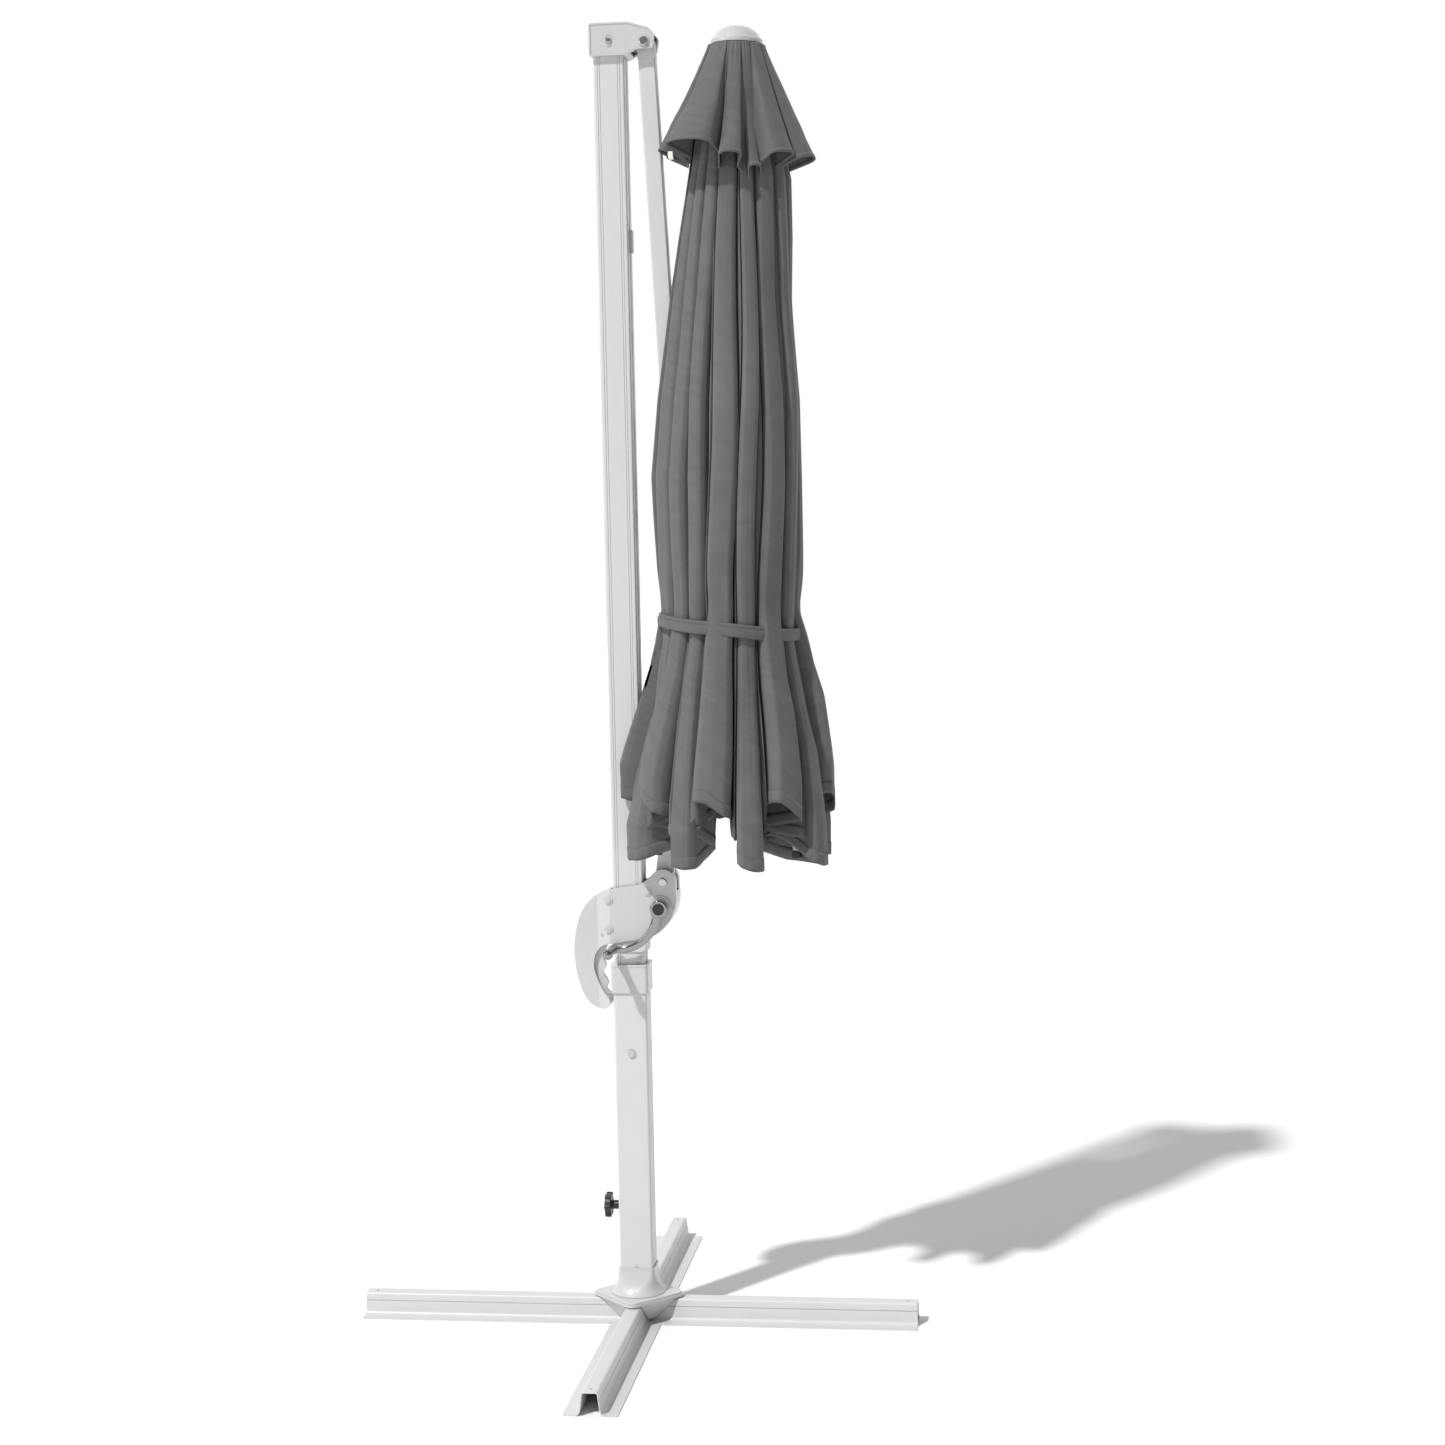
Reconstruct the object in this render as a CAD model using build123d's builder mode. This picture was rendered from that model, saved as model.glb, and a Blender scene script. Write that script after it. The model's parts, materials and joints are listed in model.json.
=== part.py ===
from build123d import *
import os
from math import cos, radians, sin, tan

# Cantilever parasol, canopy folded and hanging beside its mast.
# Millimetres. Origin: centre of the cross foot, on the ground. +Z up.
# +X points from the mast to the canopy, the cranking side faces -Y.

os.makedirs("parts", exist_ok=True)

# ---------------------------------------------------------------- driving dimensions

# Cross foot: four hat-section legs of folded sheet
LEG_REACH = 530.0
LEG_HEIGHT = 42.0
LEG_TOP = 29.0
LEG_FOOT = 96.0
SHEET = 2.0
LEG_HOLE_REACH = 511.0
LEG_HOLE_R = 3.0
LEG_BOLT_REACHES = (30.0, 45.0)

# Hub that joins the legs and carries the round spigot
HUB_PLATE_R = 54.0
HUB_PLATE_T = 4.0
COVER_TOP = 52.0
COVER_CORNER = 92.0
SPIGOT_R = 22.0
SPIGOT_TOP = 330.0
RUN = 0.05

# Lower post and mast, rectangular tubes
POST_X, POST_Y = 63.0, 54.0
POST_WALL = 2.0
POST_BOTTOM, POST_TOP = 60.0, 678.0
KNOB_Z = 218.0
MAST_X, MAST_Y = 57.0, 48.0
MAST_WALL = 2.0
MAST_BOTTOM, MAST_TOP = 440.0, 2372.0
MAST_BOLT_Z = 516.0
STOP_Z = 2023.0

# Folding linkage: strut from the head, arm from the slider, equal halves
PIVOT_X = 67.0
HEAD_Z = 2378.0
SLIDER_Z = 840.0
FOLD_ANGLE = 2.6
ARM_LEAN = 6.4
HUB_Z = 2300.0
STRUT_X, STRUT_Y = 31.0, 27.0
ARM_X, ARM_Y = 33.0, 20.0
PIVOT_R = 6.0

# Head casting
HEAD_Y = 33.0
HEAD_WALL = 3.0

# Slider with its handle and crank
SLIDER_Y = 30.0
HANDLE_Y = 17.0
SHELL = 3.0
CRANK_X, CRANK_Z = 61.0, 792.0
GRIP_X, GRIP_Z = -27.0, 716.0
TRIGGER_X, TRIGGER_Z = -51.0, 739.0

# Canopy: eight ribs, folded, hanging from the hub with a small lean
CANOPY_LEAN = 1.55
RIBS = 8
RIB_ROOT_R, RIB_ROOT_T = 40.0, 38.0
RIB_TIP_R, RIB_TIP_T = 140.0, -1395.0
CLOTH = 6.0
SLOT_Y = 18.0
WIDE_SLOT_Y = 33.0

# Worked out from the above
HALF_SPAN = (HEAD_Z - SLIDER_Z) / 2
HUB_X = PIVOT_X + (HUB_Z - SLIDER_Z) * tan(radians(ARM_LEAN))
LINK = HALF_SPAN / cos(radians(FOLD_ANGLE))
ARM_LENGTH = (HUB_Z - SLIDER_Z) / cos(radians(ARM_LEAN))
ELBOW_X = PIVOT_X + HALF_SPAN * tan(radians(FOLD_ANGLE))
ELBOW_Z = (HEAD_Z + SLIDER_Z) / 2


def side_plane(x, z, lean):
    """A plane in the XZ plane at (x, z), its local y leaning from +Z towards +X."""
    a = radians(lean)
    return Plane(origin=(x, 0, z), x_dir=(cos(a), 0, -sin(a)), z_dir=(0, -1, 0))


def cross_plane(side, t):
    """The plane across a member, t along its side plane's local y."""
    return Plane(origin=side.origin + side.y_dir * t, x_dir=side.x_dir, z_dir=side.y_dir)


def rib_angle(i):
    return 360.0 / RIBS * (i + 0.5)


def rib_plane(i):
    """Side plane of one rib: local x runs out from the canopy axis, local y up along it."""
    a = radians(rib_angle(i))
    out = CANOPY.x_dir * cos(a) + Vector(0, sin(a), 0)
    return Plane(CANOPY.origin, x_dir=out, z_dir=out.cross(CANOPY.y_dir))


STRUT = side_plane(PIVOT_X, HEAD_Z, -FOLD_ANGLE)
ARM = side_plane(PIVOT_X, SLIDER_Z, ARM_LEAN)
CANOPY = side_plane(HUB_X, HUB_Z, CANOPY_LEAN)
ELBOW = ARM.to_local_coords(Vector(ELBOW_X, 0, ELBOW_Z))
CANOPY_AXIS = Axis(CANOPY.origin, CANOPY.y_dir)

# ---------------------------------------------------------------- cross foot

LEG_SIDES = {"right": 0, "back": 90, "left": 180, "front": 270}
WEB_TOP = LEG_TOP / 2 - SHEET / 2
WEB_FOOT = WEB_TOP + 5.5

for side, turn in LEG_SIDES.items():
    across = Plane.YZ.rotated((0, 0, turn))
    level = Plane.XY.rotated((0, 0, turn))
    with BuildPart() as leg:
        with BuildSketch(across):
            with BuildLine():
                FilletPolyline(
                    (-LEG_FOOT / 2, SHEET / 2),
                    (-WEB_FOOT, SHEET / 2),
                    (-WEB_TOP, LEG_HEIGHT - SHEET / 2),
                    (WEB_TOP, LEG_HEIGHT - SHEET / 2),
                    (WEB_FOOT, SHEET / 2),
                    (LEG_FOOT / 2, SHEET / 2),
                    radius=[9, 4, 4, 9],
                )
            trace(line_width=SHEET)
        extrude(amount=LEG_REACH)
        # mitred inner end, where the four legs meet
        with BuildSketch(level):
            Polygon((0.4, 0), (LEG_REACH + 9, LEG_REACH + 8.6), (LEG_REACH + 9, -LEG_REACH - 8.6), align=None)
        extrude(amount=LEG_HEIGHT + 1, mode=Mode.INTERSECT)
        # rounded flange corners at the outer end
        fillet(leg.edges().filter_by(Axis.Z).sort_by(Axis((0, 0, 0), across.z_dir))[-2:], 5)
        # a rolled bead line down each web
        with BuildSketch(across):
            with Locations((-WEB_TOP - 2.6, 27), (WEB_TOP + 2.6, 27)):
                Circle(0.7)
        extrude(amount=LEG_REACH + 1, mode=Mode.SUBTRACT)
        # hub bolt holes and the small fixing hole near the end
        with BuildSketch(level.offset(LEG_HEIGHT + 1)):
            with Locations(*[(r, 0) for r in LEG_BOLT_REACHES]):
                Circle(4.2)
            with Locations((LEG_HOLE_REACH, 0)):
                Circle(LEG_HOLE_R)
        extrude(amount=-SHEET - 2, mode=Mode.SUBTRACT)
    leg.part.label = f"base_leg_{side}"
    export_step(leg.part, f"parts/base_leg_{side}.step")

with BuildPart() as hub_plate:
    with BuildSketch(Plane.XY.offset(LEG_HEIGHT)):
        Circle(HUB_PLATE_R)
    extrude(amount=HUB_PLATE_T)
    for reach in LEG_BOLT_REACHES:
        with Locations(Plane.XY.offset(LEG_HEIGHT + HUB_PLATE_T)):
            with PolarLocations(reach, 4):
                CounterSinkHole(radius=4.2, counter_sink_radius=7.0, counter_sink_angle=90)
hub_plate.part.label = "hub_plate"
export_step(hub_plate.part, "parts/hub_plate.step")

with BuildPart() as spigot:
    with BuildSketch(Plane.XY.offset(LEG_HEIGHT + HUB_PLATE_T)):
        Circle(SPIGOT_R)
        Circle(SPIGOT_R - 2.5, mode=Mode.SUBTRACT)
    extrude(amount=SPIGOT_TOP - LEG_HEIGHT - HUB_PLATE_T)
    chamfer(spigot.edges().group_by(Axis.Z)[-1].sort_by(SortBy.LENGTH)[-1], 1.2)
spigot.part.label = "spigot"
export_step(spigot.part, "parts/spigot.step")

with BuildPart() as leg_bolts:
    for reach in LEG_BOLT_REACHES:
        with BuildSketch(Plane.XY.offset(28)):
            with PolarLocations(reach, 4):
                Circle(4)
        extrude(amount=15.2)
        with BuildSketch(Plane.XY.offset(43.2)):
            with PolarLocations(reach, 4):
                Circle(4)
        extrude(amount=2.4, taper=-44)
leg_bolts.part.label = "leg_bolts"
export_step(leg_bolts.part, "parts/leg_bolts.step")

with BuildPart() as leg_nuts:
    with BuildSketch(Plane.XY.offset(LEG_HEIGHT - SHEET)):
        for reach in LEG_BOLT_REACHES:
            with PolarLocations(reach, 4):
                RegularPolygon(radius=6.2, side_count=6, major_radius=False)
                Circle(4, mode=Mode.SUBTRACT)
    extrude(amount=-6.5)
leg_nuts.part.label = "leg_nuts"
export_step(leg_nuts.part, "parts/leg_nuts.step")


def diamond(half_diagonal, corner):
    """A rounded square turned so that its corners lie over the legs."""
    return RectangleRounded(half_diagonal * 2**0.5, half_diagonal * 2**0.5, corner, rotation=45)


with BuildPart() as bowl_hollow:
    with BuildSketch(Plane.XY.offset(5.9)):
        diamond(52, 20)
    with BuildSketch(Plane.XY.offset(44.2)):
        diamond(83, 17)
    loft()

with BuildPart() as hub_cover:
    with BuildSketch(Plane.XY.offset(6)):
        diamond(56, 22)
    with BuildSketch(Plane.XY.offset(44.2)):
        diamond(87, 19)
    loft()
    with BuildSketch(Plane.XY.offset(44.2)):
        diamond(COVER_CORNER, 15)
    extrude(amount=4.3)
    with BuildSketch(Plane.XY.offset(48.5)):
        diamond(COVER_CORNER - 4.5, 13)
    extrude(amount=COVER_TOP - 48.5)
    chamfer(hub_cover.edges().group_by(Axis.Z)[-1], 1.0)
    add(bowl_hollow.part, mode=Mode.SUBTRACT)
    with BuildSketch(Plane.XY.offset(40)):
        Circle(HUB_PLATE_R + 0.4)
    extrude(amount=6.2, mode=Mode.SUBTRACT)
    with BuildSketch(Plane.XY.offset(40)):
        Circle(SPIGOT_R + 0.3)
    extrude(amount=20, mode=Mode.SUBTRACT)
    # clearance for the legs, which cross under the plate
    for turn in (0, 90):
        with BuildSketch(Plane.YZ.rotated((0, 0, turn)).offset(-120)):
            Polygon(
                (-28, 0), (-21.2, 9.5), (-LEG_TOP / 2 - 0.6, LEG_HEIGHT + 0.1),
                (LEG_TOP / 2 + 0.6, LEG_HEIGHT + 0.1), (21.2, 9.5), (28, 0), align=None,
            )
        extrude(amount=240, mode=Mode.SUBTRACT)
hub_cover.part.label = "hub_cover"
export_step(hub_cover.part, "parts/hub_cover.step")

with BuildPart() as thrust_washer:
    with BuildSketch(Plane.XY.offset(COVER_TOP)):
        Circle(34)
        Circle(SPIGOT_R + 0.3, mode=Mode.SUBTRACT)
    extrude(amount=2)
thrust_washer.part.label = "thrust_washer"
export_step(thrust_washer.part, "parts/thrust_washer.step")

# ---------------------------------------------------------------- swivelling post

with BuildPart() as lower_post:
    with BuildSketch(Plane.XY.offset(POST_BOTTOM)):
        RectangleRounded(POST_X, POST_Y, 4.5)
        RectangleRounded(POST_X - 2 * POST_WALL, POST_Y - 2 * POST_WALL, 2.5, mode=Mode.SUBTRACT)
    extrude(amount=POST_TOP - POST_BOTTOM)
    # cross bolt, bush screws, and the clamp stud's hole in the -X wall
    with BuildSketch(Plane.XZ):
        with Locations((0, MAST_BOLT_Z)):
            Circle(4.2)
        with Locations((0, 108)):
            Circle(2.2)
    extrude(amount=40, both=True, mode=Mode.SUBTRACT)
    with BuildSketch(Plane.YZ):
        with Locations((0, KNOB_Z)):
            Circle(5.6)
    extrude(amount=-40, mode=Mode.SUBTRACT)
lower_post.part.label = "lower_post"
export_step(lower_post.part, "parts/lower_post.step")

with BuildPart() as swivel_bushes:
    with BuildSketch(Plane.XY.offset(COVER_TOP + 2 + RUN)):
        Circle(33)
    extrude(amount=POST_BOTTOM - COVER_TOP - 2 - RUN)
    for bottom, height in ((POST_BOTTOM, 40), (284, 34)):
        with BuildSketch(Plane.XY.offset(bottom)):
            RectangleRounded(POST_X - 2 * POST_WALL - 0.2, POST_Y - 2 * POST_WALL - 0.2, 2.4)
        extrude(amount=height)
    with BuildSketch(Plane.XY.offset(COVER_TOP)):
        Circle(SPIGOT_R + RUN)
    extrude(amount=300, mode=Mode.SUBTRACT)
    with BuildSketch(Plane.XZ):
        with Locations((0, 108)):
            Circle(1.6)
    extrude(amount=40, both=True, mode=Mode.SUBTRACT)
swivel_bushes.part.label = "swivel_bushes"
export_step(swivel_bushes.part, "parts/swivel_bushes.step")

with BuildPart() as bush_screws:
    for out in (1, -1):
        with BuildSketch(Plane.XZ.offset(out * POST_Y / 2)):
            with Locations((0, 108)):
                Circle(3.0)
        extrude(amount=out * 1.2)
        with BuildSketch(Plane.XZ.offset(out * POST_Y / 2)):
            with Locations((0, 108)):
                Circle(1.55)
        extrude(amount=-out * 4.6)
bush_screws.part.label = "bush_screws"
export_step(bush_screws.part, "parts/bush_screws.step")

# flared skirt: a round foot that rises to the post's rectangle
SKIRT_LEVELS = (
    (COVER_TOP + 0.6, 104.0, 104.0, 51.8),
    (63.0, 88.0, 84.0, 38.0),
    (80.0, 73.5, 65.5, 17.0),
    (101.0, 68.4, 59.4, 7.5),
)


SKIRT_WALL = 2.6

with BuildPart() as skirt_hollow:
    for z, wide, deep, corner in SKIRT_LEVELS:
        with BuildSketch(Plane.XY.offset(z)):
            RectangleRounded(wide - 2 * SKIRT_WALL, deep - 2 * SKIRT_WALL, corner - SKIRT_WALL)
    loft()
    with BuildSketch(Plane.XY.offset(50)):
        RectangleRounded(POST_X + 0.2, POST_Y + 0.2, 4.5)
    extrude(amount=60)
    with BuildSketch(Plane.XY.offset(COVER_TOP)):
        Circle(48)
    extrude(amount=2)

with BuildPart() as post_skirt:
    for z, wide, deep, corner in SKIRT_LEVELS:
        with BuildSketch(Plane.XY.offset(z)):
            RectangleRounded(wide, deep, corner)
    loft()
    with BuildSketch(Plane.XY.offset(101)):
        RectangleRounded(68.4, 59.4, 7.5)
    extrude(amount=2.2)
    add(skirt_hollow.part, mode=Mode.SUBTRACT)
post_skirt.part.label = "post_skirt"
export_step(post_skirt.part, "parts/post_skirt.step")

with BuildPart() as post_collar:
    with BuildSketch(Plane.XY.offset(630)):
        RectangleRounded(POST_X + 7, POST_Y + 7, 6.5)
    extrude(amount=50)
    with BuildSketch(Plane.XY.offset(680)):
        RectangleRounded(POST_X + 8.4, POST_Y + 8.4, 7)
    extrude(amount=4)
    fillet(post_collar.edges().group_by(Axis.Z)[-1], 1.2)
    with BuildSketch(Plane.XY.offset(630)):
        RectangleRounded(POST_X + 0.1, POST_Y + 0.1, 4.5)
    extrude(amount=POST_TOP - 630 + 0.1, mode=Mode.SUBTRACT)
    with BuildSketch(Plane.XY.offset(670)):
        RectangleRounded(MAST_X + 0.3, MAST_Y + 0.3, 3.6)
    extrude(amount=20, mode=Mode.SUBTRACT)
post_collar.part.label = "post_collar"
export_step(post_collar.part, "parts/post_collar.step")

with BuildPart() as post_shims:
    for bottom, height in ((452, 34), (638, 38)):
        with BuildSketch(Plane.XY.offset(bottom)):
            RectangleRounded(POST_X - 2 * POST_WALL - 0.1, POST_Y - 2 * POST_WALL - 0.1, 2.4)
            RectangleRounded(MAST_X + 0.1, MAST_Y + 0.1, 3.5, mode=Mode.SUBTRACT)
        extrude(amount=height)
post_shims.part.label = "post_shims"
export_step(post_shims.part, "parts/post_shims.step")

with BuildPart() as knob_nut:
    with BuildSketch(Plane.YZ.offset(-POST_X / 2 + POST_WALL)):
        with Locations((0, KNOB_Z)):
            RegularPolygon(radius=8.5, side_count=6, major_radius=False)
            Circle(5 + RUN, mode=Mode.SUBTRACT)
    extrude(amount=6)
knob_nut.part.label = "knob_nut"
export_step(knob_nut.part, "parts/knob_nut.step")

# ---------------------------------------------------------------- clamp knob

with BuildPart() as clamp_knob:
    with BuildSketch(Plane.YZ.offset(-60)):
        with Locations((0, KNOB_Z)):
            Circle(20)
            with PolarLocations(18.5, 6):
                Circle(5.8)
    extrude(amount=12)
    fillet(clamp_knob.edges().group_by(Axis.X)[-1], 2.0)
    fillet(clamp_knob.edges().group_by(Axis.X)[0], 2.0)
    with BuildSketch(Plane.YZ.offset(-48.5)):
        with Locations((0, KNOB_Z)):
            Circle(8.5)
    extrude(amount=14.5)
    with BuildSketch(Plane.YZ.offset(-54)):
        with Locations((0, KNOB_Z)):
            Circle(5)
    extrude(amount=25, mode=Mode.SUBTRACT)
clamp_knob.part.label = "clamp_knob"
export_step(clamp_knob.part, "parts/clamp_knob.step")

with BuildPart() as clamp_stud:
    with BuildSketch(Plane.YZ.offset(-54)):
        with Locations((0, KNOB_Z)):
            Circle(5)
    extrude(amount=54 - SPIGOT_R - 0.4)
    chamfer(clamp_stud.edges().group_by(Axis.X)[-1], 0.8)
clamp_stud.part.label = "clamp_stud"
export_step(clamp_stud.part, "parts/clamp_stud.step")

# ---------------------------------------------------------------- mast

with BuildPart() as mast:
    with BuildSketch(Plane.XY.offset(MAST_BOTTOM)):
        RectangleRounded(MAST_X, MAST_Y, 3.5)
        RectangleRounded(MAST_X - 2 * MAST_WALL, MAST_Y - 2 * MAST_WALL, 2, mode=Mode.SUBTRACT)
        # thickened +X wall with its narrow channel
        with Locations((MAST_X / 2 - MAST_WALL - 1.5, 0)):
            Rectangle(4, 20)
        with Locations((MAST_X / 2, 0)):
            Rectangle(6, 7, mode=Mode.SUBTRACT)
        # two pairs of fine flutes on the front and on the back
        with Locations(*[(x, y) for x in (-20.5, -16.5, 16.5, 20.5) for y in (MAST_Y / 2, -MAST_Y / 2)]):
            Rectangle(1.0, 1.3, mode=Mode.SUBTRACT)
    extrude(amount=MAST_TOP - MAST_BOTTOM)
    with BuildSketch(Plane.XZ):
        with Locations((0, MAST_BOLT_Z)):
            Circle(4.2)
    extrude(amount=40, both=True, mode=Mode.SUBTRACT)
mast.part.label = "mast"
export_step(mast.part, "parts/mast.step")

with BuildPart() as slider_stop:
    with BuildSketch(Plane.YZ.offset(MAST_X / 2 + 0.05)):
        with Locations((0, STOP_Z)):
            RectangleRounded(15, 42, 3)
    extrude(amount=6)
    fillet(slider_stop.edges().group_by(Axis.X)[-1], 1.5)
    with BuildSketch(Plane.YZ.offset(MAST_X / 2 - 2)):
        with Locations((0, STOP_Z)):
            Rectangle(6.6, 30)
    extrude(amount=3)
slider_stop.part.label = "slider_stop"
export_step(slider_stop.part, "parts/slider_stop.step")

# ---------------------------------------------------------------- head

HEAD_BOLT_X, HEAD_BOLT_Z = 2.0, 2382.0
HEAD_POINTS = (
    (-34, 2355), (-34, 2414), (37, 2414), (77, 2402),
    (86, 2390), (82, 2365), (51, 2365), (31, 2355),
)
HEAD_CORNERS = (3, 4, 24, 10, 9, 5, 9, 8)


with BuildSketch() as head_outline:
    with BuildLine():
        FilletPolyline(*HEAD_POINTS, radius=list(HEAD_CORNERS), close=True)
    make_face()

with BuildPart() as head_hollow:
    with BuildSketch(Plane.XZ):
        offset(head_outline.sketch, amount=-HEAD_WALL)
    extrude(amount=HEAD_Y - HEAD_WALL, both=True)
    with BuildSketch(Plane.XY.offset(2350)):
        Rectangle(MAST_X + 0.4, MAST_Y + 0.4)
    extrude(amount=15)
    # mouth for the strut, open at the end and underneath
    with BuildSketch(Plane.XZ):
        Polygon((40, 2345), (40, 2404), (70, 2400), (84, 2391), (100, 2391), (100, 2345), align=None)
    extrude(amount=21.4, both=True)

for name, out in (("head_shell_front", 1), ("head_shell_back", -1)):
    with BuildPart() as head_shell:
        with BuildSketch(Plane.XZ):
            add(head_outline.sketch)
        extrude(amount=out * HEAD_Y)
        # the cheek face lies a little below its rim
        with BuildSketch(Plane.XZ.offset(out * HEAD_Y)):
            offset(head_outline.sketch, amount=-3.2)
        extrude(amount=-out * 1.0, mode=Mode.SUBTRACT)
        with BuildSketch(Plane.XZ.offset(out * (HEAD_Y - 1.5))):
            with Locations((PIVOT_X, HEAD_Z)):
                Circle(10.5)
            with Locations((HEAD_BOLT_X, HEAD_BOLT_Z)):
                Ellipse(6.4, 10.8)
        extrude(amount=out * 1.8)
        with BuildSketch(Plane.XZ.offset(out * (HEAD_Y + 1))):
            with Locations((HEAD_BOLT_X, HEAD_BOLT_Z)):
                Ellipse(5.2, 9.4)
        extrude(amount=-out * 1.6, mode=Mode.SUBTRACT)
        add(head_hollow.part, mode=Mode.SUBTRACT)
        with BuildSketch(Plane.XZ):
            with Locations((PIVOT_X, HEAD_Z)):
                Circle(PIVOT_R)
            with Locations((HEAD_BOLT_X, HEAD_BOLT_Z)):
                Circle(4)
        extrude(amount=out * 50, mode=Mode.SUBTRACT)
    head_shell.part.label = name
    export_step(head_shell.part, f"parts/{name}.step")

# cast core: a plug in the mast, a block over it and two ears for the strut's pivot
with BuildPart() as head_core:
    with BuildSketch(Plane.XY.offset(2306)):
        Rectangle(MAST_X - 2 * MAST_WALL - 8.2, MAST_Y - 2 * MAST_WALL - 0.2)
    extrude(amount=MAST_TOP - 2306 + 0.1)
    with BuildSketch(Plane.XZ):
        Polygon((-26, MAST_TOP + 0.1), (-26, 2392), (30, 2396), (38, 2396), (38, MAST_TOP + 0.1), align=None)
    extrude(amount=21, both=True)
    with BuildSketch(Plane.XZ.offset(15.2)):
        with Locations((PIVOT_X, HEAD_Z)):
            Circle(11)
        Polygon((30, 2392), (30, 2373), (38, 2368), (PIVOT_X, 2367), (PIVOT_X, 2389), align=None)
    extrude(amount=5.8)
    mirror(about=Plane.XZ)
    with BuildSketch(Plane.XZ):
        with Locations((PIVOT_X, HEAD_Z)):
            Circle(PIVOT_R)
        with Locations((HEAD_BOLT_X, HEAD_BOLT_Z)):
            Circle(4)
    extrude(amount=40, both=True, mode=Mode.SUBTRACT)
    with BuildSketch(Plane.XZ):
        with Locations((PIVOT_X, HEAD_Z)):
            Circle(18)
    extrude(amount=15.2, both=True, mode=Mode.SUBTRACT)
head_core.part.label = "head_core"
export_step(head_core.part, "parts/head_core.step")

# ---------------------------------------------------------------- cross bolts and their nuts

# (x, z, bolt radius, head radius, distance of the faces that it clamps)
MAST_BOLTS = (
    (0.0, MAST_BOLT_Z, 4.0, 7.0, POST_Y / 2),
    (HEAD_BOLT_X, HEAD_BOLT_Z, 4.0, 4.8, HEAD_Y - 0.6),
)


with BuildPart() as cross_bolts:
    for x, z, r, head_r, face in MAST_BOLTS:
        with BuildSketch(Plane.XZ.offset(face)):
            with Locations((x, z)):
                Circle(head_r)
        extrude(amount=3.6)
    fillet(cross_bolts.edges().filter_by(GeomType.CIRCLE).group_by(Axis.Y)[0], 2.0)
    for x, z, r, head_r, face in MAST_BOLTS:
        with BuildSketch(Plane.XZ.offset(face)):
            with Locations((x, z)):
                Circle(r)
        extrude(amount=-2 * face - 7)
cross_bolts.part.label = "cross_bolts"
export_step(cross_bolts.part, "parts/cross_bolts.step")

with BuildPart() as cap_nuts:
    for x, z, r, head_r, face in MAST_BOLTS:
        with BuildSketch(Plane.XZ.offset(-face - RUN)):
            with Locations((x, z)):
                RegularPolygon(radius=min(head_r - 0.2, 6.5), side_count=6, major_radius=False)
                Circle(r, mode=Mode.SUBTRACT)
        extrude(amount=-6)
    with BuildSketch(Plane.XZ.offset(-HEAD_Y - 0.4)):
        with Locations((PIVOT_X, HEAD_Z)):
            RegularPolygon(radius=9, side_count=6, major_radius=False)
            Circle(PIVOT_R, mode=Mode.SUBTRACT)
    extrude(amount=-6)
cap_nuts.part.label = "cap_nuts"
export_step(cap_nuts.part, "parts/cap_nuts.step")

with BuildPart() as strut_pivot_bolt:
    with BuildSketch(Plane.XZ.offset(HEAD_Y + 0.3)):
        with Locations((PIVOT_X, HEAD_Z)):
            Circle(8.5)
    extrude(amount=4.2)
    fillet(strut_pivot_bolt.edges().filter_by(GeomType.CIRCLE).group_by(Axis.Y)[0], 2.4)
    with BuildSketch(Plane.XZ.offset(HEAD_Y + 0.3)):
        with Locations((PIVOT_X, HEAD_Z)):
            Circle(PIVOT_R)
    extrude(amount=-2 * HEAD_Y - 8)
strut_pivot_bolt.part.label = "strut_pivot_bolt"
export_step(strut_pivot_bolt.part, "parts/strut_pivot_bolt.step")

# ---------------------------------------------------------------- strut

with BuildPart() as strut_tube:
    with BuildSketch(cross_plane(STRUT, -28)):
        RectangleRounded(STRUT_X, STRUT_Y, 3)
        RectangleRounded(STRUT_X - 4, STRUT_Y - 4, 1.5, mode=Mode.SUBTRACT)
    extrude(amount=-(LINK - 28 - 36))
strut_tube.part.label = "strut_tube"
export_step(strut_tube.part, "parts/strut_tube.step")

with BuildPart() as strut_top_eye:
    with BuildSketch(STRUT):
        Circle(STRUT_X / 2)
        with Locations((0, -14)):
            Rectangle(STRUT_X, 27.9)
    extrude(amount=STRUT_Y / 2, both=True)
    with BuildSketch(cross_plane(STRUT, -27.9)):
        RectangleRounded(STRUT_X - 4.2, STRUT_Y - 4.2, 1.4)
    extrude(amount=-38)
    with BuildSketch(STRUT):
        Circle(PIVOT_R + RUN)
    extrude(amount=30, both=True, mode=Mode.SUBTRACT)
strut_top_eye.part.label = "strut_top_eye"
export_step(strut_top_eye.part, "parts/strut_top_eye.step")

with BuildPart() as strut_fork:
    with BuildSketch(STRUT):
        with Locations((0, -LINK)):
            Circle(STRUT_X / 2)
        with Locations((0, -LINK + 18)):
            Rectangle(STRUT_X, 35.9)
    extrude(amount=STRUT_Y / 2, both=True)
    with BuildSketch(STRUT):
        with Locations((0, -LINK + 3)):
            Rectangle(STRUT_X + 2, 42)
    extrude(amount=6.4, both=True, mode=Mode.SUBTRACT)
    with BuildSketch(cross_plane(STRUT, -LINK + 35.9)):
        RectangleRounded(STRUT_X - 4.2, STRUT_Y - 4.2, 1.4)
    extrude(amount=38)
    with BuildSketch(STRUT):
        with Locations((0, -LINK)):
            Circle(PIVOT_R + RUN)
    extrude(amount=30, both=True, mode=Mode.SUBTRACT)
strut_fork.part.label = "strut_fork"
export_step(strut_fork.part, "parts/strut_fork.step")

# ---------------------------------------------------------------- arm

ARM_TUBE_START = 34.0
ARM_TUBE_END = ARM_LENGTH - 80.0

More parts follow.
